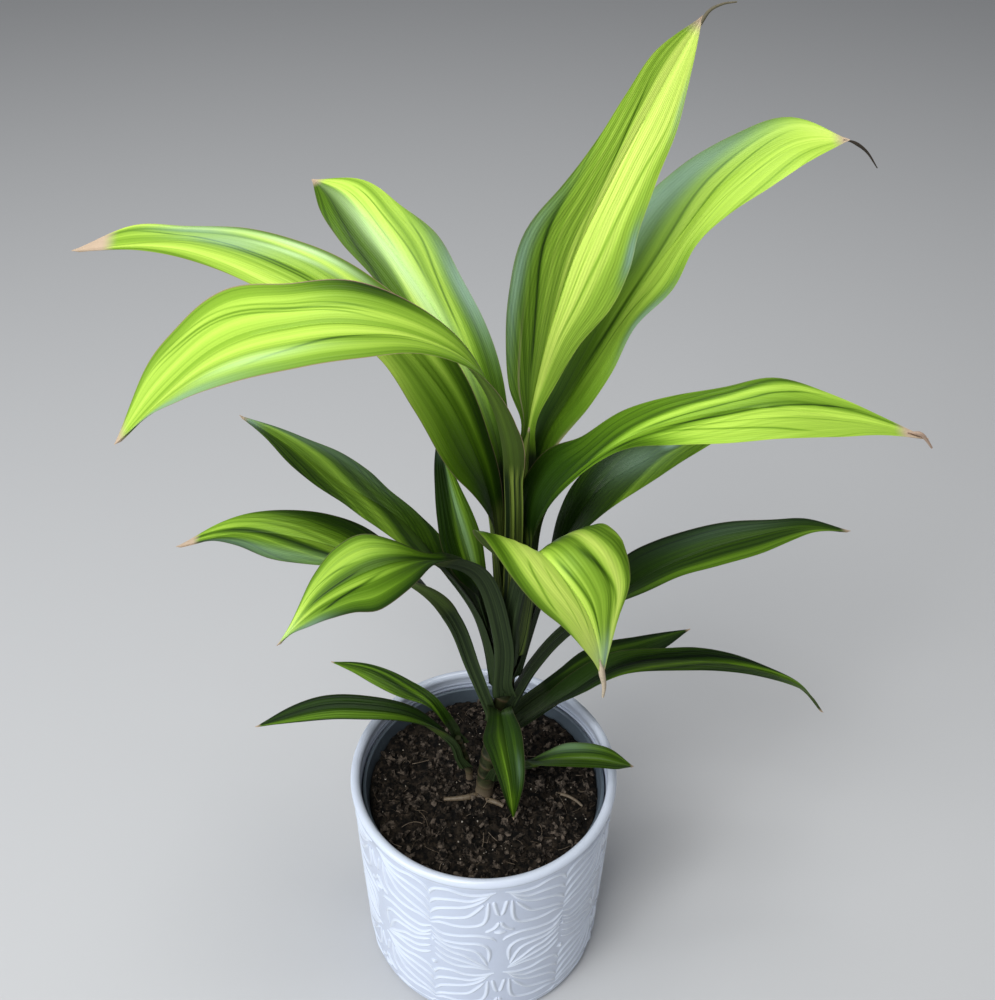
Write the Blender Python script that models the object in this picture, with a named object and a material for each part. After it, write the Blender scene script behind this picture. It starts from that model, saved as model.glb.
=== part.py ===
# A potted cordyline: one leafy cane and a small side shoot in soil, in a plastic nursery pot
# that stands inside a glazed cover pot. Metres, +Z up, origin at the centre of the cover
# pot's flat underside. The viewer stands on the -Y side, with +X to the right.

import bpy
import bmesh
import numpy as np
from collections import namedtuple
from math import cos, pi, radians, sin

MM = 0.001
CLEARANCE = 0.3 * MM            # gap between pieces that touch

# Cover pot: a glazed cylinder, a little wider at its beaded rim
POT_HEIGHT = 130 * MM
POT_RIM_RADIUS = 67 * MM
POT_BEAD = 2.4 * MM             # radius of the round rim
POT_BEAD_ARC = (-35, 190)       # from its outer foot over the top to its inner foot, in degrees
POT_BEAD_STEPS = 8
POT_NECK_DROP = 5.8 * MM        # from the rim's top to where the wall begins
POT_NECK_RADIUS = 65.8 * MM     # outside, just under the bead
POT_BASE_RADIUS = 63.4 * MM     # outside, just above the foot
POT_WALL = 3.2 * MM
POT_FLOOR = 5 * MM
POT_FOOT_ROUNDING = 5 * MM
POT_FOOT_STEPS = 4
POT_SIDES = 56

# Nursery pot: thin plastic, tapered, with a turned-down lip and drain holes
NURSERY_HEIGHT = 115 * MM
NURSERY_LIP_RADIUS = 61.4 * MM
NURSERY_LIP_DROP = 6 * MM
NURSERY_MOUTH_RADIUS = 59.6 * MM
NURSERY_BASE_RADIUS = 46 * MM
NURSERY_WALL = 1.2 * MM
NURSERY_SIDES = 48
DRAIN_HOLES = 6
DRAIN_RADIUS = 4 * MM
DRAIN_CIRCLE = 34 * MM
DRAIN_SIDES = 12

# Soil: fills the nursery pot, lumpy on top, with a plain hole for each stem
SOIL_TOP = 112.5 * MM
SOIL_MOUND = 2 * MM             # rise towards the middle
SOIL_LUMP = 1.4 * MM            # height of the lumps
SOIL_LUMP_WAVE = 410            # radians per metre
SOIL_SWIRL_WAVE = 230
SOIL_CRUMB_WAVE = 890
SOIL_RINGS = 8
SOIL_SIDES = 32

# Stems: centre-line points in millimetres, radius at foot and top, and leaf-scar rings
Stem = namedtuple("Stem", "points radii ring_pitch ring_rise")
STEMS = {
    "cane": Stem(((0, -4, 62), (0, -4, 107), (3, -2, 141), (8, 0, 169), (11, 1, 213), (13, 2, 252)),
                 (4.6 * MM, 4.2 * MM), 7 * MM, 0.3 * MM),
    "side_shoot": Stem(((-6, 4, 88), (-7, 4, 113), (-9, 4, 130), (-13, 4, 147)),
                       (2.4 * MM, 1.5 * MM), 6 * MM, 0.2 * MM),
}
STEM_SIDES = 10

# Leaves: what all of them share
LEAF_STEPS = 18
LEAF_COLUMNS = (-1.0, -0.5, 0.0, 0.5, 1.0)      # across the leaf, from edge to edge
BLADE_THICKNESS = 0.8 * MM
TIP_HALF_WIDTH = 0.5 * MM
BLADE_FOOT_FULLNESS = 0.85      # below 1 the blade's foot is rounder, above 1 it is more drawn out
EDGE_FLATTENING = 0.35          # how much less a half is folded at its edge than at the midrib
RIPPLE_LAG = 0.6 * pi           # how far the ripple of one edge lags behind the other's
STALK_THICKNESS = (1.0 * MM, 0.027)             # least, and what each unit of blade width adds
STALK_HALF_WIDTH = (1.0 * MM, 0.022)
STALK_FOLD = 32                 # degrees that each side of a stalk's channel is turned up
STALK_SEAT = 0.5 * MM           # from the stem's side to the channel's floor
THROAT = 0.15                   # share of the blade over which the channel opens out
COLLAR_RISE = 8 * MM            # a stalk hugs its stem over this height
COLLAR_LEAN = 1 * MM
CURVE_SAMPLES = 24              # between two points of a midrib or stem, before even spacing

# One leaf: its stem, the side of the stem that it grows from (degrees, 0 = +X, 90 = +Y) and
# its root's height (mm), the midrib's further points (mm), the blade's full width (mm), the
# share of the length that is stalk, and the share of the blade where it is widest. Then, at
# the blade's foot, middle and tip, how far its halves fold up and how far it rolls about its
# midrib (degrees), the ripple of its edge (height in mm, number of waves, phase in degrees),
# and its yellowness from 0 to 1.
Leaf = namedtuple("Leaf", "stem side root midrib width stalk widest fold roll ripple yellow")
LEAVES = {
    "leaf_top": Leaf(
        "cane", 85, 222,
        ((14, 8, 268), (14, 9, 300), (17, 8, 331), (30, 12, 394), (40, 20, 416), (55, 34, 442),
         (73, 50, 476)),
        46, 0.38, 0.42, (40, 18, 12), (25, 18, 10), (1.5, 2, 0), 1.0),
    "leaf_upper_right": Leaf(
        "cane", 30, 220,
        ((20, 6, 258), (24, 14, 317), (45, 30, 357), (71, 46, 397), (107, 58, 428), (138, 64, 428)),
        45, 0.38, 0.50, (35, 18, 15), (0, -16, 8), (1.5, 2, 0), 0.9),
    "leaf_back_left": Leaf(
        "cane", 137, 224,
        ((8, 9, 262), (6, 20, 302), (-10, 34, 343), (-28, 52, 369), (-47, 70, 389), (-64, 86, 396),
         (-76, 100, 391)),
        38, 0.36, 0.48, (35, 15, 15), (-15, -25, -15), (1, 2, 0), 0.9),
    "leaf_far_left": Leaf(
        "cane", 188, 222,
        ((6, 1, 258), (1, 2, 301), (-10, 3, 332), (-22, 5, 358), (-39, 11, 379), (-80, 24, 390),
         (-119, 34, 399), (-159, 38, 391)),
        46, 0.32, 0.45, (15, 12, 15), (-30, -15, -20), (1.5, 2, 0), 0.8),
    "leaf_front_left": Leaf(
        "cane", 237, 219,
        ((10, -5, 262), (10, -6, 307), (7, -10, 353), (-12, -18, 382), (-50, -26, 396),
         (-95, -30, 386), (-132, -30, 350)),
        61, 0.42, 0.50, (30, 12, 12), (0, -36, -34), (1, 1, 0), 1.0),
    "leaf_right": Leaf(
        "cane", 338, 212,
        ((19, -3, 249), (24, -8, 293), (43, -18, 342), (70, -22, 358), (104, -24, 365),
         (150, -24, 356)),
        36, 0.34, 0.62, (35, 8, 12), (0, 18, 20), (1, 1, 0), 0.9),
    "leaf_front": Leaf(
        "cane", 287, 208,
        ((14, -7, 245), (14, -16, 289), (27, -34, 298), (40, -48, 287), (47, -56, 250)),
        58, 0.50, 0.38, (28, 18, 10), (0, -14, 0), (1, 1, 0), 0.9),
    "leaf_inner_left": Leaf(
        "cane", 150, 203,
        ((0, 3, 237), (-8, 9, 270), (-16, 15, 300), (-23, 20, 322)),
        24, 0.30, 0.40, (40, 35, 25), (0, 0, 0), (0, 1, 0), 0.4),
    "leaf_right_rear": Leaf(
        "cane", 12, 196,
        ((23, 6, 235), (30, 10, 261), (45, 20, 284), (67, 32, 294), (94, 46, 301), (115, 56, 302)),
        40, 0.36, 0.45, (30, 20, 15), (0, 0, 0), (0, 1, 0), 0.3),
    "leaf_left_middle": Leaf(
        "cane", 182, 190,
        ((-3, 2, 219), (-20, 9, 261), (-35, 19, 270), (-60, 30, 283), (-85, 40, 299),
         (-107, 48, 308)),
        31, 0.34, 0.40, (30, 25, 15), (-10, -28, -15), (0, 1, 0), 0.5),
    "leaf_left_low": Leaf(
        "cane", 190, 166,
        ((-7, 2, 202), (-16, 4, 229), (-27, 8, 244), (-74, 20, 256), (-106, 26, 261),
         (-142, 30, 248)),
        32, 0.30, 0.50, (30, 18, 15), (0, -20, -20), (0, 1, 0), 0.4),
    "leaf_left_front": Leaf(
        "cane", 228, 186,
        ((6, -8, 227), (-2, -11, 266), (-21, -19, 284), (-43, -26, 287), (-66, -31, 271),
         (-86, -34, 251)),
        42, 0.50, 0.36, (30, 15, 15), (0, -24, -8), (0, 1, 0), 0.7),
    "leaf_right_middle": Leaf(
        "cane", 350, 176,
        ((20, 3, 200), (36, 10, 218), (66, 20, 238), (91, 26, 246), (114, 32, 250), (137, 37, 255),
         (168, 42, 253)),
        32, 0.30, 0.45, (30, 18, 15), (0, 25, 20), (0, 1, 0), 0.4),
    "leaf_right_low": Leaf(
        "cane", 0, 150,
        ((22, 6, 156), (40, 12, 168), (66, 20, 183), (101, 26, 182), (138, 30, 173), (162, 32, 157),
         (177, 32, 137)),
        26, 0.10, 0.40, (30, 20, 15), (0, -5, 0), (0, 1, 0), 0.4),
    "leaf_rear_low": Leaf(
        "cane", 50, 149,
        ((25, 19, 166), (54, 42, 159), (82, 58, 152), (110, 72, 156)),
        19, 0.25, 0.45, (30, 20, 15), (0, 0, 0), (0, 1, 0), 0.2),
    "leaf_over_soil": Leaf(
        "cane", 270, 164,
        ((9, -10, 178), (11, -18, 167), (13, -26, 150), (15, -30, 128)),
        20, 0.15, 0.45, (30, 25, 20), (0, 0, 0), (0, 1, 0), 0.3),
    "leaf_low_right": Leaf(
        "cane", 320, 128,
        ((21, -3, 138), (37, -8, 152), (56, -10, 152), (73, -12, 148)),
        16, 0.20, 0.55, (30, 20, 15), (0, 25, 20), (0, 1, 0), 0.3),
    "leaf_spear": Leaf(
        "cane", 280, 242,
        ((14, 2, 268), (14, 2, 290), (15, 3, 315), (17, 5, 335)),
        6, 0.50, 0.40, (55, 50, 40), (0, 0, 0), (0, 1, 0), 0.6),
    "shoot_leaf_upper": Leaf(
        "side_shoot", 125, 140,
        ((-16, 8, 150), (-24, 14, 157), (-40, 22, 165), (-58, 30, 166), (-79, 38, 164)),
        16, 0.15, 0.50, (30, 20, 15), (0, -10, -10), (0, 1, 0), 0.4),
    "shoot_leaf_lower": Leaf(
        "side_shoot", 218, 126,
        ((-17, 1, 146), (-35, 3, 163), (-58, 5, 166), (-81, 8, 162), (-115, 10, 147)),
        17, 0.15, 0.50, (30, 20, 15), (0, -20, -15), (0, 1, 0), 0.3),
}

# Colours, as red, green and blue
GLAZE_WHITE = (0.80, 0.83, 0.88)
PLASTIC_GREY = (0.20, 0.26, 0.32)
SOIL_BROWN = (0.035, 0.022, 0.014)
CANE_GREEN = (0.10, 0.13, 0.04)
LEAF_DARK = (0.02, 0.10, 0.015)
LEAF_LIME = (0.38, 0.62, 0.05)


def clear_scene():
    for item in list(bpy.data.objects):
        bpy.data.objects.remove(item, do_unlink=True)


def material(name, color, roughness, metallic=0.0):
    mat = bpy.data.materials.new(name)
    mat.use_nodes = True
    shader = mat.node_tree.nodes["Principled BSDF"]
    shader.inputs["Base Color"].default_value = (*color, 1.0)
    shader.inputs["Roughness"].default_value = roughness
    shader.inputs["Metallic"].default_value = metallic
    mat.diffuse_color = (*color, 1.0)
    return mat


def add_object(name, bm, mat, sharp_above=50):
    """An object from a mesh; its edges are sharp above an angle in degrees."""
    bmesh.ops.recalc_face_normals(bm, faces=bm.faces)
    mesh = bpy.data.meshes.new(name)
    bm.to_mesh(mesh)
    bm.free()
    if mat:
        mesh.materials.append(mat)
        mesh.shade_smooth()
        mesh.set_sharp_from_angle(angle=radians(sharp_above))
    obj = bpy.data.objects.new(name, mesh)
    bpy.context.collection.objects.link(obj)
    return obj


def cut_with(obj, cutter):
    cutter.hide_render = True
    cutter.display_type = "WIRE"
    boolean = obj.modifiers.new("Cut", "BOOLEAN")
    boolean.operation = "DIFFERENCE"
    boolean.solver = "EXACT"
    boolean.object = cutter


def on_circle(radius, count):
    """Points evenly spaced on a circle, as pairs of x and y."""
    angles = [2 * pi * i / count for i in range(count)]
    return [(radius * cos(angle), radius * sin(angle)) for angle in angles]


def turned(profile, sides):
    """Spin a profile of (radius, height) points about Z; it starts and ends on the axis."""
    bm = bmesh.new()
    verts = [bm.verts.new((radius, 0, height)) for radius, height in profile]
    edges = [bm.edges.new(pair) for pair in zip(verts, verts[1:])]
    bmesh.ops.spin(bm, geom=verts + edges, axis=(0, 0, 1), cent=(0, 0, 0),
                   angle=2 * pi, steps=sides, use_merge=True)
    bmesh.ops.remove_doubles(bm, verts=bm.verts, dist=1e-6)
    return bm


def arc(centre, radius, start, end, steps):
    """Points of an arc in a turned profile, from start to end in degrees."""
    angles = [radians(start + (end - start) * i / steps) for i in range(steps + 1)]
    return [(centre[0] + radius * cos(a), centre[1] + radius * sin(a)) for a in angles]


def cover_pot():
    neck_height = POT_HEIGHT - POT_NECK_DROP
    bead_centre = (POT_RIM_RADIUS - POT_BEAD, POT_HEIGHT - POT_BEAD)
    foot_centre = (POT_BASE_RADIUS - POT_FOOT_ROUNDING, POT_FOOT_ROUNDING)
    base_inside = POT_BASE_RADIUS - POT_WALL
    profile = [(0, 0)]
    profile += arc(foot_centre, POT_FOOT_ROUNDING, -90, 0, POT_FOOT_STEPS)
    profile += [(POT_NECK_RADIUS, neck_height)]
    profile += arc(bead_centre, POT_BEAD, *POT_BEAD_ARC, POT_BEAD_STEPS)
    profile += [(POT_NECK_RADIUS - POT_WALL, neck_height)]
    profile += [(base_inside, POT_FLOOR + POT_FOOT_ROUNDING)]
    profile += [(base_inside - POT_FOOT_ROUNDING, POT_FLOOR), (0, POT_FLOOR)]
    glaze = material("White glaze", GLAZE_WHITE, 0.25)
    return add_object("cover_pot", turned(profile, POT_SIDES), glaze)


def nursery_inside(height):
    """Inner radius of the nursery pot at a height above its underside."""
    base_inside = NURSERY_BASE_RADIUS - NURSERY_WALL
    return base_inside + (NURSERY_MOUTH_RADIUS - base_inside) * height / NURSERY_HEIGHT


def nursery_pot():
    lip_foot = NURSERY_HEIGHT - NURSERY_LIP_DROP
    rounding = NURSERY_WALL / 2
    profile = [
        (0, 0),
        (NURSERY_BASE_RADIUS - NURSERY_WALL, 0),
        (NURSERY_BASE_RADIUS, NURSERY_WALL),
        (nursery_inside(lip_foot) + NURSERY_WALL, lip_foot),
        (NURSERY_LIP_RADIUS - rounding, lip_foot),
        (NURSERY_LIP_RADIUS, lip_foot + rounding),
        (NURSERY_LIP_RADIUS, NURSERY_HEIGHT - rounding),
        (NURSERY_LIP_RADIUS - rounding, NURSERY_HEIGHT),
        (NURSERY_MOUTH_RADIUS, NURSERY_HEIGHT),
        (nursery_inside(NURSERY_WALL), NURSERY_WALL),
        (0, NURSERY_WALL),
    ]
    plastic = material("Grey plastic", PLASTIC_GREY, 0.45)
    pot = add_object("nursery_pot", turned(profile, NURSERY_SIDES), plastic)
    pot.location.z = POT_FLOOR + CLEARANCE

    drill = bmesh.new()
    for x, y in on_circle(DRAIN_CIRCLE, DRAIN_HOLES):
        hole = bmesh.ops.create_cone(drill, cap_ends=True, segments=DRAIN_SIDES,
                                     radius1=DRAIN_RADIUS, radius2=DRAIN_RADIUS,
                                     depth=3 * NURSERY_WALL)
        bmesh.ops.translate(drill, verts=hole["verts"], vec=(x, y, NURSERY_WALL / 2))
    cutter = add_object("drain_drill", drill, None)
    cutter.location = pot.location
    cut_with(pot, cutter)
    return pot


def soil_height(x, y):
    """Height of the lumpy soil: coarse swirled lumps and finer crumbs on a low mound."""
    reach = (x * x + y * y) / (NURSERY_MOUTH_RADIUS * NURSERY_MOUTH_RADIUS)
    swirl_x = 2 * sin(SOIL_SWIRL_WAVE * y)
    swirl_y = 2 * sin(SOIL_SWIRL_WAVE * x)
    lumps = sin(SOIL_LUMP_WAVE * x + swirl_x) * sin(SOIL_LUMP_WAVE * y + swirl_y)
    crumbs = sin(SOIL_CRUMB_WAVE * x) * sin(SOIL_CRUMB_WAVE * y)
    return SOIL_TOP + SOIL_MOUND * (1 - reach) + SOIL_LUMP * (2 * lumps + crumbs) / 3


def soil():
    pot_foot = POT_FLOOR + CLEARANCE
    foot = pot_foot + NURSERY_WALL + CLEARANCE
    edge = SOIL_TOP - SOIL_LUMP
    flats = cos(pi / NURSERY_SIDES)
    foot_radius = nursery_inside(foot - pot_foot) * flats - CLEARANCE
    top_radius = nursery_inside(edge - pot_foot) * flats - CLEARANCE

    bm = bmesh.new()
    middle = bm.verts.new((0, 0, soil_height(0, 0)))
    rings = []
    for ring in range(1, SOIL_RINGS):
        places = on_circle(top_radius * ring / SOIL_RINGS, SOIL_SIDES)
        rings.append([bm.verts.new((x, y, soil_height(x, y))) for x, y in places])
    for radius, height in ((top_radius, edge), (foot_radius, foot)):
        rings.append([bm.verts.new((x, y, height)) for x, y in on_circle(radius, SOIL_SIDES)])

    for i in range(SOIL_SIDES):
        j = (i + 1) % SOIL_SIDES
        bm.faces.new((middle, rings[0][i], rings[0][j]))
        for inner, outer in zip(rings, rings[1:]):
            bm.faces.new((inner[i], outer[i], outer[j]))
            bm.faces.new((inner[i], outer[j], inner[j]))
    bm.faces.new(rings[-1])

    earth = material("Potting soil", SOIL_BROWN, 0.95)
    ground = add_object("soil", bm, earth, 25)
    for name, stem in STEMS.items():
        cut_with(ground, add_object(name + "_hole", stem_mesh(stem, CLEARANCE), None))
    return ground


def smooth_curve(points, samples):
    """Points evenly spaced along a Catmull-Rom curve through the given points."""
    points = np.array(points, float)
    ends = np.vstack([2 * points[0] - points[1], points, 2 * points[-1] - points[-2]])
    fine = []
    for a, b, c, d in zip(ends, ends[1:], ends[2:], ends[3:]):
        for t in np.linspace(0, 1, CURVE_SAMPLES, endpoint=False):
            fine.append(0.5 * (2 * b + (c - a) * t + (2 * a - 5 * b + 4 * c - d) * t ** 2
                               + (3 * b - a - 3 * c + d) * t ** 3))
    fine = np.array(fine + [points[-1]])
    length = np.concatenate([[0], np.cumsum(np.linalg.norm(np.diff(fine, axis=0), axis=1))])
    stations = np.linspace(0, length[-1], samples)
    return np.column_stack([np.interp(stations, length, fine[:, axis]) for axis in range(3)])


def unit(vectors):
    return vectors / np.linalg.norm(vectors, axis=-1, keepdims=True)


def carried_along(tangents, first):
    """Directions square to a curve, each carried on from the last with no twist."""
    result = []
    current = np.array(first, float)
    for tangent in tangents:
        current = unit(current - tangent * current.dot(tangent))
        result.append(current)
    return np.array(result)


def stem_line(stem):
    """Centre line of a stem, with a point at each leaf scar and one between each pair."""
    height = (stem.points[-1][2] - stem.points[0][2]) * MM
    return smooth_curve(np.array(stem.points) * MM, 2 + round(2 * height / stem.ring_pitch))


def stem_radius(stem, share):
    foot, top = stem.radii
    return foot + (top - foot) * share


def stem_mesh(stem, grow=0.0):
    """A tapered stem with a ring at each leaf scar, grown all round to cut its hole."""
    line = stem_line(stem)
    tangents = unit(np.gradient(line, axis=0))
    line[0] -= tangents[0] * grow
    across = carried_along(tangents, (1, 0, 0))
    other = np.cross(tangents, across)
    bm = bmesh.new()
    loops = []
    for i, centre in enumerate(line):
        scar = stem.ring_rise if i % 2 else 0.0
        radius = stem_radius(stem, i / (len(line) - 1)) + scar + grow
        loops.append([bm.verts.new(centre + x * across[i] + y * other[i])
                      for x, y in on_circle(radius, STEM_SIDES)])
    for low, high in zip(loops, loops[1:]):
        for side in range(STEM_SIDES):
            after = (side + 1) % STEM_SIDES
            bm.faces.new((low[side], low[after], high[after], high[side]))
    bm.faces.new(loops[0])
    bm.faces.new(loops[-1])
    return bm


def beside_stem(stem, height, outward, gap):
    """A point at a height, at a gap from the stem's side."""
    line = stem_line(stem)
    centre = np.array([np.interp(height, line[:, 2], line[:, axis]) for axis in range(3)])
    share = np.interp(height, line[:, 2], np.linspace(0, 1, len(line)))
    return centre + outward * (stem_radius(stem, share) + stem.ring_rise + gap)


def through_three(values, share):
    """A smooth change through values at 0, one half and 1."""
    start, middle, end = values
    return (start * (1 - share) * (1 - 2 * share) + middle * 4 * share * (1 - share)
            + end * share * (2 * share - 1))


def leaf_half_width(leaf, blade):
    """Half the leaf's width along it: a narrow stalk that passes smoothly into the blade."""
    width = leaf.width * MM
    foot = BLADE_FOOT_FULLNESS
    tip = foot * (1 - leaf.widest) / leaf.widest
    outline = (blade / leaf.widest) ** foot * ((1 - blade) / (1 - leaf.widest)) ** tip
    stalk = (STALK_HALF_WIDTH[0] + STALK_HALF_WIDTH[1] * width) * (1 - blade) ** 0.5
    return np.maximum(((width / 2 * outline) ** 3 + stalk ** 3) ** (1 / 3), TIP_HALF_WIDTH)


def leaf_surface(leaf):
    """Upper face of a leaf as rows of points from root to tip, and its thickness at each."""
    stem = STEMS[leaf.stem]
    side = radians(leaf.side)
    outward = np.array([cos(side), sin(side), 0])
    root = beside_stem(stem, leaf.root * MM, outward, STALK_SEAT)
    collar = beside_stem(stem, leaf.root * MM + COLLAR_RISE, outward, STALK_SEAT + COLLAR_LEAN)
    spine = smooth_curve(np.vstack([root, collar, np.array(leaf.midrib) * MM]), LEAF_STEPS + 1)

    along = np.linspace(0, 1, LEAF_STEPS + 1)
    blade = np.clip((along - leaf.stalk) / (1 - leaf.stalk), 0, 1)
    tangents = unit(np.gradient(spine, axis=0))
    flat_across = carried_along(tangents, (-sin(side), cos(side), 0))
    flat_upward = np.cross(tangents, flat_across)
    roll = np.radians(through_three(leaf.roll, blade)) * np.clip(along / leaf.stalk, 0, 1)
    across = flat_across * np.cos(roll)[:, None] + flat_upward * np.sin(roll)[:, None]
    upward = flat_upward * np.cos(roll)[:, None] - flat_across * np.sin(roll)[:, None]

    half_width = leaf_half_width(leaf, blade)
    opening = np.clip(blade / THROAT, 0, 1)
    fold = STALK_FOLD * (1 - opening) + through_three(leaf.fold, blade) * opening
    height, waves, phase = leaf.ripple
    stalk_thickness = STALK_THICKNESS[0] + STALK_THICKNESS[1] * leaf.width * MM
    rows = []
    thickness = []
    for v in LEAF_COLUMNS:
        lift = np.radians(fold * (1 - EDGE_FLATTENING * abs(v)))
        wave = np.sin(2 * pi * waves * blade + radians(phase) + RIPPLE_LAG * (v > 0))
        ripple = height * MM * v * v * wave * np.sin(pi * blade)
        sideways = half_width * v * np.cos(lift)
        raised = half_width * abs(v) * np.sin(lift) + ripple
        rows.append(spine + across * sideways[:, None] + upward * raised[:, None])
        extra = (stalk_thickness - BLADE_THICKNESS) * (1 - abs(v))
        thickness.append(BLADE_THICKNESS + extra * (1 - blade) ** 3)
    return np.array(rows).transpose(1, 0, 2), np.array(thickness).T


def surface_normals(surface):
    down_the_leaf = np.gradient(surface, axis=0)
    over_the_leaf = np.gradient(surface, axis=1)
    return unit(np.cross(down_the_leaf, over_the_leaf))


def leaf_object(name, leaf):
    """A closed leaf with its origin at its root; both faces are split into triangles alike."""
    surface, thickness = leaf_surface(leaf)
    under = surface - surface_normals(surface) * thickness[:, :, None]
    root = surface[0].mean(axis=0)
    bm = bmesh.new()
    top = [[bm.verts.new(point - root) for point in row] for row in surface]
    bottom = [[bm.verts.new(point - root) for point in row] for row in under]
    last = len(LEAF_COLUMNS) - 1
    for i in range(LEAF_STEPS):
        for j in range(last):
            first_half = ((i, j), (i + 1, j), (i + 1, j + 1))
            second_half = ((i, j), (i + 1, j + 1), (i, j + 1))
            for corners in (first_half, second_half):
                bm.faces.new([top[row][column] for row, column in corners])
                bm.faces.new([bottom[row][column] for row, column in reversed(corners)])
        for j in (0, last):
            bm.faces.new((top[i][j], top[i + 1][j], bottom[i + 1][j], bottom[i][j]))
    for i in (0, LEAF_STEPS):
        for j in range(last):
            bm.faces.new((top[i][j], top[i][j + 1], bottom[i][j + 1], bottom[i][j]))
    color = np.array(LEAF_DARK) + (np.array(LEAF_LIME) - np.array(LEAF_DARK)) * leaf.yellow
    obj = add_object(name, bm, material("Blade of " + name, color, 0.4), 80)
    obj.location = root
    return obj


def build():
    clear_scene()
    cover_pot()
    nursery_pot()
    soil()
    bark = material("Green cane", CANE_GREEN, 0.6)
    for name, stem in STEMS.items():
        add_object(name, stem_mesh(stem), bark)
    for name, leaf in LEAVES.items():
        leaf_object(name, leaf)
    bpy.context.view_layer.update()


build()
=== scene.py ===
# Potted cordyline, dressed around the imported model.
# Metres, +Z up, origin at the centre of the pot's underside; the viewer is on the -Y side.
from math import cos, pi, radians, sin
import bmesh
import bpy
import numpy as np
from mathutils import Matrix, Vector


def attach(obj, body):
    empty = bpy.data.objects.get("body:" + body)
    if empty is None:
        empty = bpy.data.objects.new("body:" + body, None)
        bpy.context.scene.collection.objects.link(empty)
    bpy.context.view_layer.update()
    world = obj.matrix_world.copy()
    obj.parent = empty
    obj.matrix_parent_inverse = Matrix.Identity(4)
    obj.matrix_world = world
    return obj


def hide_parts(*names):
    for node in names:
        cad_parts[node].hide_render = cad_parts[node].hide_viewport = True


mm = 0.001
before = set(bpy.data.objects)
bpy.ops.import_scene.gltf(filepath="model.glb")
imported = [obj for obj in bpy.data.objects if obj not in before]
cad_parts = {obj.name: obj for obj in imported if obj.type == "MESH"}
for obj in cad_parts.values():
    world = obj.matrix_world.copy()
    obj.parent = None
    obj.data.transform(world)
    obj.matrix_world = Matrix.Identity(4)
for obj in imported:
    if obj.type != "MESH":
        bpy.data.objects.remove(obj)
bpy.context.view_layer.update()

cameraView = dict(place=(0.005, -0.348, 0.582), down=38.8, roll=0.8, lens=39.6, sensor=36.0)


def makeCamera(view):
    camera = bpy.data.objects.new("camera", bpy.data.cameras.new("camera"))
    bpy.context.collection.objects.link(camera)
    camera.data.lens = view["lens"]
    camera.data.sensor_width = view["sensor"]
    camera.data.clip_start = 0.01
    tilt = Matrix.Rotation(radians(90 - view["down"]), 4, "X")
    turn = Matrix.Rotation(radians(view["roll"]), 4, "Z")
    camera.matrix_world = Matrix.Translation(view["place"]) @ tilt @ turn
    bpy.context.scene.camera = camera


makeCamera(cameraView)
print("camera set")


# node tree helpers

def socketNamed(sockets, name):
    return next(socket for socket in sockets if socket.name == name and socket.enabled)


def feed(tree, socket, value):
    if isinstance(value, bpy.types.NodeSocket):
        tree.links.new(value, socket)
    else:
        socket.default_value = value


def addNode(tree, kind, values=None, **settings):
    node = tree.nodes.new(kind)
    for key, value in settings.items():
        setattr(node, key, value)
    for key, value in (values or {}).items():
        socket = node.inputs[key] if isinstance(key, int) else socketNamed(node.inputs, key)
        feed(tree, socket, value)
    return node


def result(tree, kind, values=None, **settings):
    return addNode(tree, kind, values, **settings).outputs[0]


def calc(tree, operation, *values, clamp=False):
    node = addNode(tree, "ShaderNodeMath", dict(enumerate(values)), operation=operation)
    node.use_clamp = clamp
    return node.outputs[0]


def plus(tree, first, *others):
    for value in others:
        first = calc(tree, "ADD", first, value)
    return first


def minus(tree, first, second):
    return calc(tree, "SUBTRACT", first, second)


def times(tree, first, *others):
    for value in others:
        first = calc(tree, "MULTIPLY", first, value)
    return first


def vectorCalc(tree, operation, *values):
    keys = (0, "Scale") if operation == "SCALE" else range(len(values))
    node = addNode(tree, "ShaderNodeVectorMath", operation=operation)
    for key, value in zip(keys, values):
        feed(tree, node.inputs[key], value)
    return node.outputs["Value" if operation in ("LENGTH", "DOT_PRODUCT") else "Vector"]


def joinXyz(tree, x, y, z):
    return result(tree, "ShaderNodeCombineXYZ", {0: x, 1: y, 2: z})


def splitXyz(tree, vector):
    return addNode(tree, "ShaderNodeSeparateXYZ", {0: vector}).outputs


def smoothStep(tree, value, low, high, start=0.0, end=1.0):
    node = addNode(tree, "ShaderNodeMapRange", interpolation_type="SMOOTHSTEP")
    for key, item in (("Value", value), ("From Min", low), ("From Max", high),
                      ("To Min", start), ("To Max", end)):
        feed(tree, socketNamed(node.inputs, key), item)
    return node.outputs["Result"]


def bellCurve(tree, value, width):
    scaled = calc(tree, "DIVIDE", value, width)
    return calc(tree, "EXPONENT", times(tree, scaled, scaled, -1.0))


# how much the first, middle and last of three values weigh at a share of the way
def threeShares(tree, share):
    rest = minus(tree, 1.0, share)
    lean = calc(tree, "MULTIPLY_ADD", share, 2.0, -1.0)
    return joinXyz(tree, times(tree, rest, lean, -1.0), times(tree, rest, share, 4.0),
                   times(tree, share, lean))


def noise(tree, vector, scale=1.0, detail=2.0, roughness=0.5):
    values = {"Vector": vector, "Scale": scale, "Detail": detail, "Roughness": roughness}
    return result(tree, "ShaderNodeTexNoise", values)


def position(tree):
    return result(tree, "GeometryNodeInputPosition")


def surfaceNormal(tree):
    return result(tree, "GeometryNodeInputNormal")


def readAttribute(tree, name, kind="FLOAT"):
    return result(tree, "GeometryNodeInputNamedAttribute", {"Name": name}, data_type=kind)


def storeAttribute(tree, geometry, name, value, kind="FLOAT", domain="POINT"):
    values = {"Geometry": geometry, "Name": name, "Value": value}
    return result(tree, "GeometryNodeStoreNamedAttribute", values, data_type=kind, domain=domain)


def moved(tree, geometry, **values):
    return result(tree, "GeometryNodeSetPosition", {"Geometry": geometry, **values})


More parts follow.
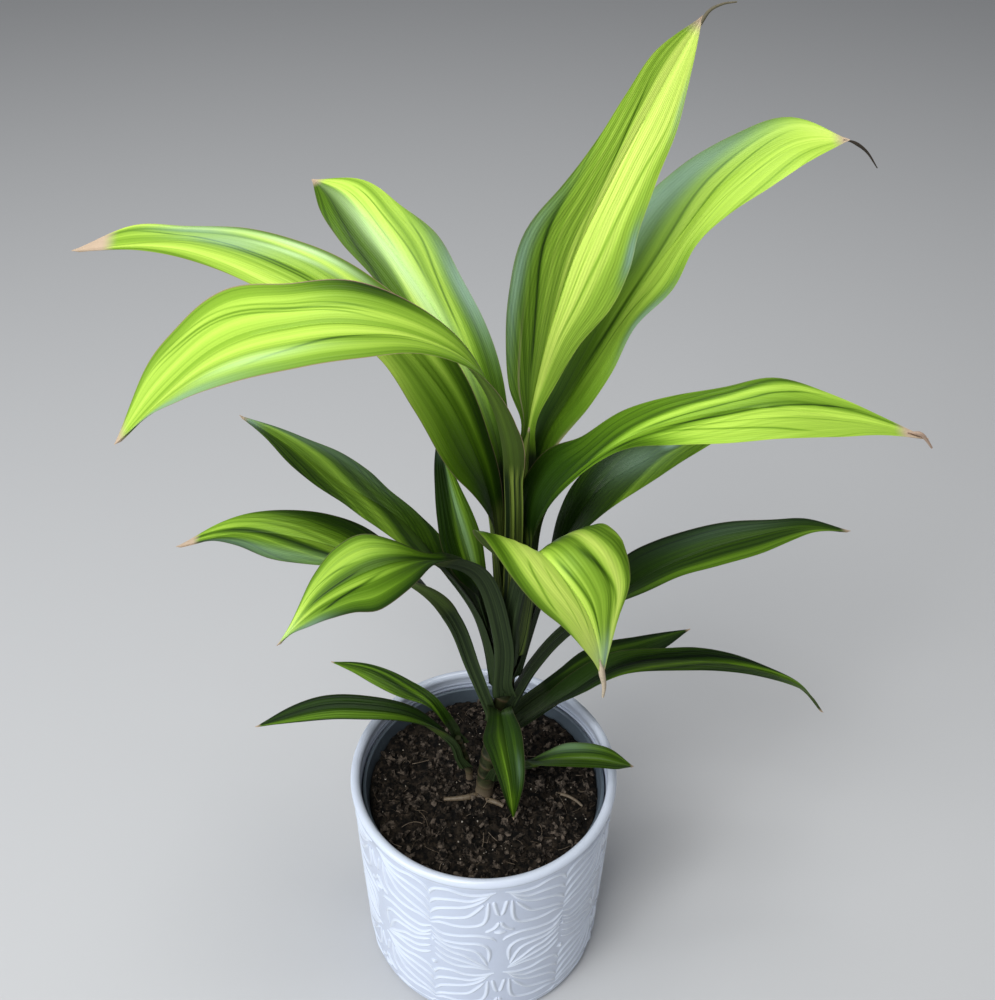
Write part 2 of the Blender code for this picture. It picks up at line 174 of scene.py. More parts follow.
def flipped(tree, mesh):
    return result(tree, "GeometryNodeFlipFaces", {"Mesh": mesh})


def smoothShaded(tree, geometry):
    return result(tree, "GeometryNodeSetShadeSmooth", {"Geometry": geometry})


def joined(tree, *shapes):
    node = addNode(tree, "GeometryNodeJoinGeometry")
    for shape in shapes:
        feed(tree, node.inputs[0], shape)
    return node.outputs[0]


def swept(tree, line, section, scale=None):
    values = {"Curve": line, "Profile Curve": section, "Fill Caps": True}
    if scale is not None:
        values["Scale"] = scale
    return result(tree, "GeometryNodeCurveToMesh", values)


def newTree(name, kind, inputs, outputs):
    tree = bpy.data.node_groups.new(name, kind)
    for side, sockets in (("INPUT", inputs), ("OUTPUT", outputs)):
        for label, (socketType, value) in sockets.items():
            made = tree.interface.new_socket(label, in_out=side,
                                             socket_type="NodeSocket" + socketType)
            if value is not None:
                made.default_value = value
    start = tree.nodes.new("NodeGroupInput").outputs
    end = tree.nodes.new("NodeGroupOutput").inputs
    return tree, start, end


def finishTree(tree, end, geometry, materials):
    shape = result(tree, "GeometryNodeRealizeInstances", {"Geometry": geometry})
    for material, selection in materials:
        values = {"Geometry": shape, "Material": material}
        if selection is not None:
            values["Selection"] = selection
        shape = result(tree, "GeometryNodeSetMaterial", values)
    feed(tree, end[0], shape)


def evaluatedMesh(source, modifier):
    bpy.context.view_layer.update()
    graph = bpy.context.evaluated_depsgraph_get()
    mesh = bpy.data.meshes.new_from_object(source.evaluated_get(graph), depsgraph=graph)
    source.modifiers.remove(modifier)
    return mesh


def growPiece(name, source, tree, values):
    modifier = source.modifiers.new("shape", "NODES")
    modifier.node_group = tree
    for item in tree.interface.items_tree:
        if item.item_type == "SOCKET" and item.in_out == "INPUT" and item.name in values:
            modifier[item.identifier] = values[item.name]
    mesh = evaluatedMesh(source, modifier)
    bpy.data.objects.remove(source)
    return addPiece(name, mesh)


def addObject(name, data):
    made = bpy.data.objects.new(name, data)
    bpy.context.collection.objects.link(made)
    return made


def addPiece(name, mesh):
    mesh.name = name
    return addObject(name, mesh)


def meshOf(bm, name):
    mesh = bpy.data.meshes.new(name)
    bm.to_mesh(mesh)
    bm.free()
    return mesh


def seat(piece, slot, *nodes):
    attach(piece, "root")
    if nodes:
        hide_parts(*nodes)


# materials

def newMaterial(name, roughness=0.5, specular=0.5):
    material = bpy.data.materials.new(name)
    material.use_nodes = True
    tree = material.node_tree
    shader = tree.nodes["Principled BSDF"]
    shader.inputs["Roughness"].default_value = roughness
    shader.inputs["Specular IOR Level"].default_value = specular
    return material, tree, shader


def objectPlace(tree):
    return tree.nodes.new("ShaderNodeTexCoord").outputs["Object"]


def mixColor(tree, share, first, second):
    node = addNode(tree, "ShaderNodeMix", data_type="RGBA")
    feed(tree, node.inputs[0], share)
    feed(tree, node.inputs[6], first if isinstance(first, bpy.types.NodeSocket) else (*first, 1))
    feed(tree, node.inputs[7],
         second if isinstance(second, bpy.types.NodeSocket) else (*second, 1))
    return node.outputs[2]


def colorRamp(tree, factor, stops):
    node = addNode(tree, "ShaderNodeValToRGB", {0: factor})
    ramp = node.color_ramp
    while len(ramp.elements) > 1:
        ramp.elements.remove(ramp.elements[-1])
    for i, (place, color) in enumerate(stops):
        element = ramp.elements[0] if i == 0 else ramp.elements.new(place)
        element.position = place
        element.color = (*color, 1) if isinstance(color, tuple) else (color, color, color, 1)
    return node.outputs[0]


def bump(tree, height, strength, distance):
    values = {"Height": height, "Strength": strength, "Distance": distance}
    return result(tree, "ShaderNodeBump", values)


def addGroup(tree, group, **values):
    node = addNode(tree, "ShaderNodeGroup", node_tree=group)
    for label, value in values.items():
        feed(tree, node.inputs[label], value)
    return node.outputs


def dress(tree, shader, **values):
    for label, value in values.items():
        feed(tree, shader.inputs[label], value)


# leaf colours; the bluish sheen colour is a painted reflection of light on the glossy blade
leafTones = dict(
    darkest=(0.003, 0.012, 0.001), dark=(0.019, 0.052, 0.002), middle=(0.094, 0.200, 0.008),
    fresh=(0.25, 0.44, 0.035), lime=(0.47, 0.71, 0.085), yellow=(0.70, 0.91, 0.16),
    pale=(0.66, 0.95, 0.44), paintedSheen=(0.30, 0.47, 0.35), edge=(0.36, 0.22, 0.17),
    dry=(0.55, 0.42, 0.30), under=(0.045, 0.062, 0.014), stalk=(0.034, 0.056, 0.018),
    stalkDark=(0.009, 0.019, 0.005),
)


# the colour at each lightness of a leaf
toneSteps = ((0.0, "darkest"), (0.2, "dark"), (0.42, "middle"), (0.62, "fresh"), (0.8, "lime"),
             (1.0, "yellow"))
# how light a band is, 0 to 1
leafShades = dict(deep=0.04, dark=0.2, green=0.42, fresh=0.6, lime=0.76, yellow=0.92)


# lean is where the pattern's middle runs at the blade's foot, half way and tip, fan how wide it is
def leafPatternGroup():
    tree, start, end = newTree("leafPattern", "ShaderNodeTree",
                               {"place": ("Vector", None), "bladeStart": ("Float", 0.4),
                                "seed": ("Float", 0.0), "lean": ("Vector", (0.5, 0.5, 0.5)),
                                "fan": ("Vector", (1.0, 1.0, 1.0)), "stripes": ("Float", 9.0),
                                "lines": ("Float", 24.0), "edgeWidth": ("Float", 0.035),
                                "ridges": ("Float", 110.0)},
                               {label: ("Float", None)
                                for label in ("blade", "vein", "stripe", "line", "drift", "edge",
                                              "relief")})
    across, along, _ = splitXyz(tree, start["place"])
    side = calc(tree, "MULTIPLY_ADD", across, 2.0, -1.0)
    blade = calc(tree, "DIVIDE", minus(tree, along, start["bladeStart"]),
                 minus(tree, 1.0, start["bladeStart"]), clamp=True)
    shares = threeShares(tree, blade)
    middle, spread = [vectorCalc(tree, "DOT_PRODUCT", shares, start[label])
                      for label in ("lean", "fan")]
    vein = plus(tree, calc(tree, "DIVIDE", minus(tree, across, middle), spread), 0.5)

    def acrossNoise(scale, run, shift, detail):
        place = joinXyz(tree, times(tree, vein, scale), times(tree, along, run),
                        plus(tree, start["seed"], shift))
        return noise(tree, place, 1.0, detail)

    line = acrossNoise(start["lines"], 1.6, 0.0, 2.0)
    broad = smoothStep(tree, acrossNoise(start["stripes"], 0.7, 3.3, 1.0), 0.50, 0.60)
    narrow = acrossNoise(times(tree, start["stripes"], 3.0), 0.9, 5.5, 0.0)
    edgeStart = minus(tree, 1.0, start["edgeWidth"])
    ridges = calc(tree, "SINE", times(tree, side, start["ridges"]))
    masks = {"blade": blade, "vein": vein, "line": line, "drift": acrossNoise(2.0, 1.4, 7.7, 1.0),
             "stripe": plus(tree, broad, smoothStep(tree, narrow, 0.58, 0.68)),
             "edge": smoothStep(tree, calc(tree, "ABSOLUTE", side), edgeStart, 1.0),
             "relief": calc(tree, "MULTIPLY_ADD", ridges, 0.15, line)}
    for label, mask in masks.items():
        feed(tree, end[label], mask)
    return tree


def leafPatchGroup():
    tree, start, end = newTree(
        "leafPatch", "ShaderNodeTree",
        {"place": ("Vector", None), "blade": ("Float", 0.0), "across": ("Float", 0.5),
         "along": ("Float", 0.5), "width": ("Float", 0.1), "length": ("Float", 0.1)},
        {"mask": ("Float", None)})
    across = splitXyz(tree, start["place"])[0]
    sideways = bellCurve(tree, minus(tree, across, start["across"]), start["width"])
    lengthways = bellCurve(tree, minus(tree, start["blade"], start["along"]), start["length"])
    feed(tree, end["mask"], times(tree, sideways, lengthways))
    return tree


# a thin line whose place across the blade goes through three values between its start and its end
def leafStrokeGroup():
    tree, start, end = newTree("leafStroke", "ShaderNodeTree",
                               {"place": ("Vector", None), "blade": ("Float", 0.0),
                                "path": ("Vector", (0.5, 0.5, 0.5)), "start": ("Float", 0.2),
                                "end": ("Float", 0.9), "width": ("Float", 0.014),
                                "fade": ("Float", 0.25)}, {"mask": ("Float", None)})
    share = calc(tree, "DIVIDE", minus(tree, start["blade"], start["start"]),
                 minus(tree, start["end"], start["start"]), clamp=True)
    path = vectorCalc(tree, "DOT_PRODUCT", threeShares(tree, share), start["path"])
    line = bellCurve(tree, minus(tree, splitXyz(tree, start["place"])[0], path), start["width"])
    fadeIn, fadeOut = [smoothStep(tree, value, 0.0, start["fade"])
                       for value in (share, minus(tree, 1.0, share))]
    feed(tree, end["mask"], times(tree, line, times(tree, fadeIn, fadeOut)))
    return tree


leafPattern = leafPatternGroup()
leafPatch = leafPatchGroup()
leafStroke = leafStrokeGroup()


leafLook = dict(specular=0.16, wander=0.05, lineDepth=0.16, lineMean=0.07, underTint=0.7,
                stalkBlend=0.05, roughening=0.08, underRoughness=0.15)


def leafMaterial(name, leaf, under=False):
    look, tones = leafLook, leafTones
    material, tree, shader = newMaterial(name, leaf["gloss"], look["specular"])
    place = result(tree, "ShaderNodeUVMap", uv_map="leafUv")
    masks = addGroup(tree, leafPattern, place=place, bladeStart=leaf["stalk"],
                     seed=float(leaf["root"]), stripes=leaf["stripes"], lean=leaf["lean"],
                     fan=leaf["fan"])
    blade = masks["blade"]
    patches = []
    for kind, across, along, width, length, amount in leaf["patches"]:
        patch = addGroup(tree, leafPatch, place=place, blade=blade, across=across, along=along,
                         width=width, length=length)
        patches.append((kind, times(tree, patch["mask"], amount)))
    wander = calc(tree, "MULTIPLY_ADD", masks["drift"], look["wander"], -look["wander"] / 2)
    bands = [(across, leafShades[shade]) for across, shade in leaf["bands"]]
    tone = colorRamp(tree, plus(tree, masks["vein"], wander), bands)
    tone = minus(tree, tone, times(tree, masks["stripe"], leaf["stripeDepth"]))
    tone = plus(tree, tone,
                calc(tree, "MULTIPLY_ADD", masks["line"], look["lineDepth"],
                     leaf["lift"] - look["lineMean"]))
    for kind, mask in patches:
        if kind in ("shade", "bright"):
            tone = calc(tree, "SUBTRACT" if kind == "shade" else "ADD", tone, mask)
    for path, first, last, width, amount in leaf["strokes"]:
        stroke = addGroup(tree, leafStroke, place=place, blade=blade, path=path, start=first,
                          end=last, width=width)
        tone = minus(tree, tone, times(tree, stroke["mask"], amount))
    tone = times(tree, tone,
                 smoothStep(tree, blade, 0.0, leaf["footReach"], leaf["footTone"], 1.0))
    color = colorRamp(tree, tone, [(light, tones[label]) for light, label in toneSteps])
    if under:
        color = mixColor(tree, look["underTint"], color, tones["under"])
    # the bluish sheen patches mix a painted reflection into the upper side's colour
    for kind, mask in patches:
        if kind in ("pale", "paintedSheen", "dry") and not under:
            color = mixColor(tree, mask, color, tones[kind])
    color = mixColor(tree, times(tree, masks["edge"], leaf["edgeTint"]), color, tones["edge"])
    stalk = smoothStep(tree, blade, 0.0, look["stalkBlend"], 1.0, 0.0)
    stalkTone = mixColor(tree, smoothStep(tree, masks["line"], 0.35, 0.65), tones["stalkDark"],
                         leaf["stalkTone"])
    color = mixColor(tree, stalk, color, stalkTone)
    dryStart = 1.0 - leaf["dryTip"]
    dry = smoothStep(tree, splitXyz(tree, place)[1], dryStart - 0.015, dryStart + 0.01)
    rough = calc(tree, "MULTIPLY_ADD", masks["line"], 2 * look["roughening"],
                 leaf["gloss"] - look["roughening"])
    dress(tree, shader,
          **{"Base Color": mixColor(tree, dry, color, tones["dry"]),
             "Roughness": plus(tree, rough, look["underRoughness"] if under else 0.0),
             "Normal": bump(tree, masks["relief"], 0.4, 0.4 * mm)})
    return material


leafRule = dict(
    rows=110, columns=33, bladeThickness=0.5 * mm, stalkThickness=1.9 * mm, stalkFold=42,
    stalkSeat=0.5 * mm, throat=0.15, clasp=0.07, claspWidth=2.5 * mm, claspFold=18,
    collarRise=8 * mm, collarLean=1 * mm, tipHalfWidth=0.25 * mm, edgeFlattening=0.35,
    rippleLag=0.6 * pi, grooveDepth=0.35 * mm, grooveWidth=0.9 * mm,
    keelDepth=0.5 * mm, keelShare=0.09, pleatDepth=0.16 * mm, pleats=5.0, sharpAngle=50,
)
# what a leaf has where its own entry below says nothing
plainLeaf = dict(
    stem="cane", ripple=(0, 1), lift=0.0, gloss=0.45, stripes=9.0, stripeDepth=0.07,
    lean=(0.5, 0.5, 0.5), fan=(1.0, 1.0, 1.0), footTone=0.4, footReach=0.25, edgeTint=0.2,
    dryTip=0.015, stalkTone=leafTones["stalk"], patches=(), strokes=(),
)

# midrib: points in mm. rightEdge, leftEdge: half widths in mm at even steps along the blade,
# fitted by least squares to outline points picked in the photo.
# bands: (across, shade), coarse, chosen over unrolled pictures of the leaves after a sampled
# print-out of the same leaves had been seen; lean and fan follow that print-out too.
# strokes: (three places across, start, end, width, amount)
# patches: (kind, across, along the blade, width, length, amount); the bluish sheen kind is a
# painted reflection

leaves = {
    "leafTop": dict(
        node="leaf_top", side=85, root=222, stalk=0.35, fold=(40, 16, 12), roll=(25, 18, 10),
        ripple=(1, 2),
        midrib=((14, 8, 268), (16, 8, 327), (22, 9, 367), (31, 14, 401), (44, 24, 428),
                (58, 38, 451), (73, 50, 476)),
        rightEdge=(5, 3, 7, 12, 19.5, 20.5, 16.5, 14, 12, 6.5, 0),
        leftEdge=(5, 4, 13, 18.5, 22.5, 24, 17, 12.5, 11, 9, 0),
        lift=0.07, footTone=0.75, footReach=0.2, stripes=12.0, lean=(0.42, 0.46, 0.5),
        fan=(0.3, 0.8, 1.9),
        bands=((0, "fresh"), (0.12, "fresh"), (0.2, "lime"), (0.3, "yellow"), (0.6, "yellow"),
               (0.68, "fresh"), (0.85, "fresh"), (1, "green")),
        strokes=(((0.35, 0.29, 0.1), 0.2, 0.87, 0.018, 0.3),
                 ((0.5, 0.57, 0.87), 0.27, 0.92, 0.016, 0.3),
                 ((0.65, 0.75, 0.96), 0.2, 0.63, 0.02, 0.28),
                 ((0.42, 0.4, 0.3), 0.2, 0.9, 0.008, 0.15),
                 ((0.42, 0.44, 0.56), 0.3, 0.95, 0.007, 0.15)),
        patches=(("paintedSheen", 0.95, 0.42, 0.06, 0.14, 0.7), ("paintedSheen", 0.03, 0.54, 0.05, 0.06, 0.75),
                 ("paintedSheen", 0.05, 0.84, 0.05, 0.05, 0.5), ("shade", 0.03, 0.54, 0.05, 0.07, 0.25),
                 ("dry", 0.84, 0.16, 0.014, 0.14, 0.6))),
    "leafUpperRight": dict(
        node="leaf_upper_right", side=30, root=220, stalk=0.3, fold=(35, 16, 10),
        roll=(10, 22, 20), ripple=(0.5, 2),
        midrib=((20, 6, 258), (22, 12, 316), (35, 22, 342), (55, 34, 374), (73, 46, 396),
                (89, 56, 413), (113, 64, 426), (138, 68, 427)),
        rightEdge=(5, 9.5, 12.5, 12.5, 9, 13, 9, 12.5, 14, 10.5, 0),
        leftEdge=(5, 7.5, 11.5, 14.5, 17, 17.5, 21, 17.5, 14, 11, 0),
        footTone=0.3, footReach=0.5, lean=(0.5, 0.5, 0.95), fan=(0.9, 1.0, 1.0),
        bands=((0, "lime"), (0.5, "lime"), (0.6, "fresh"), (0.7, "green"), (1, "green")),
        strokes=(((0.47, 0.38, 0.3), 0.2, 0.5, 0.012, 0.22),
                 ((0.6, 0.56, 0.9), 0.15, 0.93, 0.018, 0.28),
                 ((0.51, 0.54, 0.78), 0.55, 0.92, 0.012, 0.2),
                 ((0.3, 0.3, 0.45), 0.4, 0.95, 0.008, 0.12)),
        patches=(("shade", 0.05, 0.46, 0.12, 0.14, 0.34), ("paintedSheen", 0.88, 0.66, 0.16, 0.16, 0.7),
                 ("paintedSheen", 0.02, 0.42, 0.08, 0.07, 0.6), ("dry", 0.0, 0.07, 0.05, 0.07, 0.9),
                 ("bright", 0.8, 0.97, 0.4, 0.08, 0.25))),
    "leafBackLeft": dict(
        node="leaf_back_left", side=137, root=224, stalk=0.34, fold=(35, 15, 15),
        roll=(-15, -22, -15), ripple=(0.5, 2),
        midrib=((8, 9, 262), (6, 20, 308), (-7, 34, 342), (-25, 52, 366), (-45, 72, 384),
                (-60, 88, 392), (-76, 102, 394)),
        rightEdge=(5, 7.5, 12, 15, 16.5, 18.5, 14.5, 11.5, 0),
        leftEdge=(5, 7, 10.5, 13, 14.5, 15, 16.5, 13, 0),
        lift=-0.06, footReach=0.35, lean=(0.85, 0.6, 0.2),
        bands=((0, "green"), (0.12, "lime"), (0.22, "lime"), (0.28, "fresh"), (0.36, "yellow"),
               (0.62, "yellow"), (0.7, "green"), (1, "green")),
        strokes=(((0.38, 0.25, 0.04), 0.35, 0.75, 0.014, 0.25),
                 ((0.4, 0.31, 0.18), 0.5, 0.93, 0.012, 0.25),
                 ((0.48, 0.43, 0.33), 0.6, 0.93, 0.01, 0.22)),
        patches=(("pale", 0.56, 0.6, 0.12, 0.3, 0.85), ("paintedSheen", 0.04, 0.46, 0.12, 0.13, 0.75))),
    "leafFarLeft": dict(
        node="leaf_far_left", side=188, root=222, stalk=0.23, fold=(15, 12, 12),
        roll=(-35, -42, -40), ripple=(0.5, 1),
        midrib=((6, 1, 258), (2, 2, 301), (-8, 5, 333), (-21, 9, 355), (-41, 16, 374),
                (-70, 26, 391), (-112, 36, 397), (-160, 40, 390)),
        rightEdge=(5, 8, 10.5, 13, 14.5, 13.5, 11.5, 10, 7, 9, 0),
        leftEdge=(5, 14, 21, 18.5, 13, 16, 18, 15, 10.5, 4, 0),
        lift=-0.05, footTone=0.25, footReach=0.45, stalkTone=(0.12, 0.17, 0.03), edgeTint=0.6,
        dryTip=0.05, lean=(0.7, 0.6, 0.3),
        bands=((0, "green"), (0.14, "yellow"), (0.24, "fresh"), (0.4, "lime"), (0.55, "fresh"),
               (0.65, "lime"), (0.85, "yellow"), (1, "fresh")),
        strokes=(((0.55, 0.47, 0.08), 0.5, 0.93, 0.016, 0.28),
                 ((0.63, 0.57, 0.45), 0.5, 0.8, 0.012, 0.22)),
        patches=(("paintedSheen", 0.12, 0.78, 0.14, 0.07, 0.6), ("paintedSheen", 0.4, 0.72, 0.14, 0.08, 0.5),
                 ("pale", 0.12, 0.6, 0.06, 0.1, 0.8), ("pale", 0.3, 0.62, 0.05, 0.08, 0.6))),
    "leafFrontLeft": dict(
        node="leaf_front_left", side=237, root=219, stalk=0.32, fold=(22, 12, 12),
        roll=(-15, -48, -48), ripple=(0.5, 1),
        midrib=((10, -5, 262), (10, -7, 308), (7, -10, 344), (-1, -14, 369), (-13, -19, 385),
                (-35, -24, 396), (-61, -28, 398), (-92, -31, 388), (-132, -31, 350)),
        rightEdge=(5, 4.5, 6, 9, 15, 20, 20, 25, 23.5, 19.5, 0),
        leftEdge=(5.5, 9, 10, 11, 14, 22, 24, 22, 14, 4, 0),
        lift=-0.05, footReach=0.5, stalkTone=(0.22, 0.29, 0.055), edgeTint=0.8,
        bands=((0, "fresh"), (0.12, "lime"), (0.35, "yellow"), (0.52, "lime"), (0.62, "yellow"),
               (0.8, "lime"), (1, "fresh")),
        strokes=(((0.4, 0.26, 0.13), 0.42, 0.93, 0.012, 0.24),
                 ((0.45, 0.3, 0.2), 0.42, 0.9, 0.009, 0.2),
                 ((0.65, 0.72, 0.88), 0.36, 0.7, 0.014, 0.24),
                 ((0.35, 0.22, 0.08), 0.4, 0.9, 0.01, 0.14)),
        patches=(("shade", 0.0, 0.47, 0.24, 0.1, 0.4), ("paintedSheen", 0.95, 0.84, 0.09, 0.16, 0.55),
                 ("shade", 0.74, 0.5, 0.04, 0.08, 0.15), ("pale", 0.8, 0.66, 0.05, 0.1, 0.5))),
    "leafRight": dict(
        node="leaf_right", side=338, root=212, stalk=0.28, fold=(35, 10, 12), roll=(38, 18, 20),
        ripple=(0.5, 1),
        midrib=((19, -3, 249), (22, -10, 303), (39, -18, 336), (63, -22, 356), (97, -25, 366),
                (129, -26, 362), (159, -26, 354)),
        rightEdge=(5, 7, 6, 5, 7, 14.5, 19, 17.5, 12, 5, 0),
        leftEdge=(6, 15, 17, 12, 13, 12, 11.5, 15, 11, 5, 0),
        footTone=0.12, footReach=0.55, stalkTone=(0.10, 0.15, 0.025), dryTip=0.04,
        lean=(-0.1, 0.36, 0.95),
        bands=((0, "lime"), (0.4, "lime"), (0.5, "green"), (0.6, "fresh"), (0.68, "fresh"),
               (0.76, "lime"), (0.86, "green"), (1, "green")),
        strokes=(((0.3, 0.2, 0.1), 0.45, 0.78, 0.014, 0.22),
                 ((0.42, 0.48, 0.95), 0.42, 0.9, 0.016, 0.28),
                 ((0.52, 0.62, 0.97), 0.38, 0.82, 0.014, 0.25),
                 ((0.35, 0.32, 0.5), 0.45, 0.92, 0.009, 0.14)),
        patches=(("shade", 0.08, 0.42, 0.16, 0.08, 0.45),)),
    "leafFront": dict(
        node="leaf_front", side=287, root=208, stalk=0.43, fold=(40, 26, 10), roll=(0, -6, 0),
        ripple=(0.5, 1),
        midrib=((14, -7, 245), (18, -14, 278), (22, -24, 295), (30, -36, 295), (39, -46, 287),
                (44, -53, 276), (47, -58, 260)),
        rightEdge=(5.5, 18, 27, 33, 32, 22.5, 13, 5, 0),
        leftEdge=(5.5, 12, 27, 31, 31, 26, 13, 5, 0),
        lift=0.1, footReach=0.42, dryTip=0.03, stripes=13.0, stripeDepth=0.09, fan=(0.7, 0.9, 1.3),
        bands=((0, "green"), (0.1, "lime"), (0.25, "yellow"), (0.38, "lime"), (0.5, "lime"),
               (0.6, "fresh"), (0.75, "green"), (0.87, "yellow"), (1, "green")),
        strokes=(((0.25, 0.16, 0.08), 0.38, 0.62, 0.014, 0.28),
                 ((0.38, 0.28, 0.18), 0.38, 0.78, 0.012, 0.26),
                 ((0.48, 0.44, 0.28), 0.36, 0.82, 0.012, 0.26),
                 ((0.53, 0.56, 0.62), 0.33, 0.93, 0.014, 0.3),
                 ((0.7, 0.77, 0.94), 0.35, 0.8, 0.02, 0.25)),
        patches=(("bright", 0.3, 0.86, 0.3, 0.12, 0.25), ("pale", 0.5, 0.9, 0.4, 0.08, 0.6),
                 ("bright", 0.35, 0.45, 0.25, 0.3, 0.06), ("paintedSheen", 0.8, 0.9, 0.16, 0.08, 0.8))),
    "leafInnerLeft": dict(
        node="leaf_inner_left", side=150, root=203, stalk=0.36, fold=(40, 25, 15),
        roll=(0, -50, -40),
        midrib=((0, 3, 237), (-7, 9, 264), (-14, 15, 290), (-20, 20, 322)),
        rightEdge=(4.5, 6, 7.5, 7, 4.5, 1.5, 0), leftEdge=(4.5, 11, 11.5, 9, 6.5, 4, 0),
        lift=0.07, footTone=0.6, footReach=0.2, lean=(0.6, 0.5, 0.25),
        bands=((0, "dark"), (0.25, "green"), (0.4, "green"), (0.55, "green"), (0.65, "dark"),
               (0.75, "deep"), (1, "deep")),
        patches=(("paintedSheen", 0.44, 0.45, 0.1, 0.4, 0.4), ("paintedSheen", 0.5, 0.9, 0.3, 0.06, 0.5))),
    "leafRightRear": dict(
        node="leaf_right_rear", side=12, root=196, stalk=0.39, fold=(35, 15, 15), roll=(0, 18, 10),
        midrib=((23, 6, 235), (30, 10, 261), (45, 20, 288), (67, 32, 299), (94, 46, 301),
                (115, 56, 302)),
        rightEdge=(4.5, 14, 17, 15, 10, 5, 0), leftEdge=(4.5, 10, 12, 12, 12, 8, 0),
        lift=0.06, gloss=0.3, footTone=0.3, footReach=0.4, lean=(-0.05, 0.55, 1.15),
        bands=((0, "green"), (0.15, "fresh"), (0.27, "dark"), (1, "dark")),
        patches=(("paintedSheen", 0.55, 0.5, 0.28, 0.14, 0.45), ("paintedSheen", 0.58, 0.66, 0.07, 0.04, 0.8))),
    "leafLeftMiddle": dict(
        node="leaf_left_middle", side=182, root=190, stalk=0.36, fold=(30, 15, 12),
        roll=(-10, -28, -15),
        midrib=((1, 1, 220), (-5, 5, 237), (-18, 10, 256), (-37, 19, 276), (-62, 30, 286),
                (-85, 40, 298), (-108, 48, 309)),
        rightEdge=(5.5, 9, 8, 8.5, 12.5, 12.5, 8.5, 5, 0),
        leftEdge=(5.5, 11, 16, 15, 11.5, 11.5, 10, 4.5, 0),
        lift=0.08, footTone=0.5, footReach=0.2, lean=(1.6, 0.6, 0.2),
        bands=((0, "dark"), (0.3, "dark"), (0.42, "fresh"), (0.6, "green"), (0.72, "green"),
               (0.82, "dark"), (1, "dark")),
        patches=(("paintedSheen", 0.06, 0.7, 0.14, 0.3, 0.25), ("paintedSheen", 0.45, 0.97, 0.5, 0.05, 0.8))),
    "leafLeftLow": dict(
        node="leaf_left_low", side=190, root=166, stalk=0.33, fold=(30, 12, 12),
        roll=(50, -30, -25),
        midrib=((-7, 2, 202), (-16, 4, 229), (-31, 8, 247), (-69, 20, 259), (-106, 26, 261),
                (-142, 30, 248)),
        rightEdge=(6, 10, 14.5, 17, 15.5, 12.5, 9.5, 6, 0),
        leftEdge=(6, 9.5, 12, 14.5, 16, 15, 8, 1.5, 0),
        lift=0.01, footReach=0.3, dryTip=0.05, lean=(0.95, 0.65, 0.1),
        bands=((0, "dark"), (0.12, "green"), (0.25, "fresh"), (0.42, "fresh"), (0.53, "dark"),
               (0.66, "fresh"), (0.8, "green"), (1, "dark")),
        patches=(("paintedSheen", 0.88, 0.6, 0.12, 0.3, 0.35), ("bright", 0.3, 0.86, 0.12, 0.08, 0.15))),
    "leafLeftFront": dict(
        node="leaf_left_front", side=228, root=186, stalk=0.53, fold=(30, 12, 12),
        roll=(0, -42, -20),
        midrib=((6, -8, 229), (-3, -11, 270), (-21, -19, 286), (-41, -26, 289), (-65, -31, 276),
                (-85, -34, 251)),
        rightEdge=(6, 4, 10, 16, 15, 10.5, 5.5, 2, 0), leftEdge=(7, 8, 19, 22, 16, 12, 8, 3, 0),
        lift=-0.04, footTone=0.35, footReach=0.45,
        bands=((0, "green"), (0.12, "lime"), (0.32, "lime"), (0.42, "green"), (0.5, "green"),
               (0.62, "lime"), (0.72, "green"), (0.85, "fresh"), (1, "dark")),
        strokes=(((0.35, 0.27, 0.18), 0.4, 0.8, 0.014, 0.2),
                 ((0.58, 0.69, 0.82), 0.3, 0.7, 0.02, 0.28),
                 ((0.45, 0.48, 0.47), 0.4, 0.75, 0.012, 0.2)),
        patches=(("bright", 0.5, 0.88, 0.5, 0.16, 0.3), ("pale", 0.5, 0.94, 0.4, 0.1, 0.5),
                 ("paintedSheen", 0.95, 0.75, 0.1, 0.12, 0.4))),
    "leafRightMiddle": dict(
        node="leaf_right_middle", side=350, root=176, stalk=0.28, fold=(30, 14, 12),
        roll=(0, 20, 15),
        midrib=((23, 3, 200), (38, 9, 218), (70, 20, 241), (97, 28, 251), (120, 33, 256),
                (144, 38, 258), (169, 42, 253)),
        rightEdge=(6, 11, 17, 15.5, 17, 16, 11, 4, 0),
        leftEdge=(5.5, 11.5, 17, 16.5, 14.5, 12, 7.5, 6, 0),
        lift=0.03, footReach=0.5,
        bands=((0, "green"), (0.12, "green"), (0.25, "dark"), (0.8, "dark"), (1, "deep")),
        patches=(("bright", 0.2, 0.88, 0.3, 0.08, 0.12), ("paintedSheen", 0.8, 0.55, 0.16, 0.2, 0.12))),
    "leafRightLow": dict(
        node="leaf_right_low", side=0, root=150, stalk=0.14, fold=(30, 16, 12), roll=(0, 5, 0),
        midrib=((22, 6, 160), (40, 12, 171), (66, 20, 185), (101, 26, 183), (135, 30, 172),
                (161, 32, 157), (177, 32, 137)),
        rightEdge=(6, 11, 13, 15, 13, 10, 8, 4.5, 0), leftEdge=(5, 9, 8, 6.5, 8, 7.5, 4.5, 3.5, 0),
        lift=0.04, footReach=0.35, lean=(-0.2, 0.41, 1.15),
        bands=((0, "dark"), (0.33, "dark"), (0.45, "green"), (0.57, "dark"), (0.7, "deep"),
               (0.88, "deep"), (1, "dark")),
        patches=(("bright", 0.5, 0.86, 0.6, 0.12, 0.14),)),
    "leafRearLow": dict(
        node="leaf_rear_low", side=50, root=149, stalk=0.28, fold=(30, 16, 10), roll=(0, 10, 0),
        midrib=((25, 19, 159), (52, 42, 158), (82, 58, 156), (110, 72, 157)),
        rightEdge=(5, 8, 10, 9, 7, 4.5, 0), leftEdge=(5, 6, 8.5, 9, 7, 4, 0),
        lift=0.06,
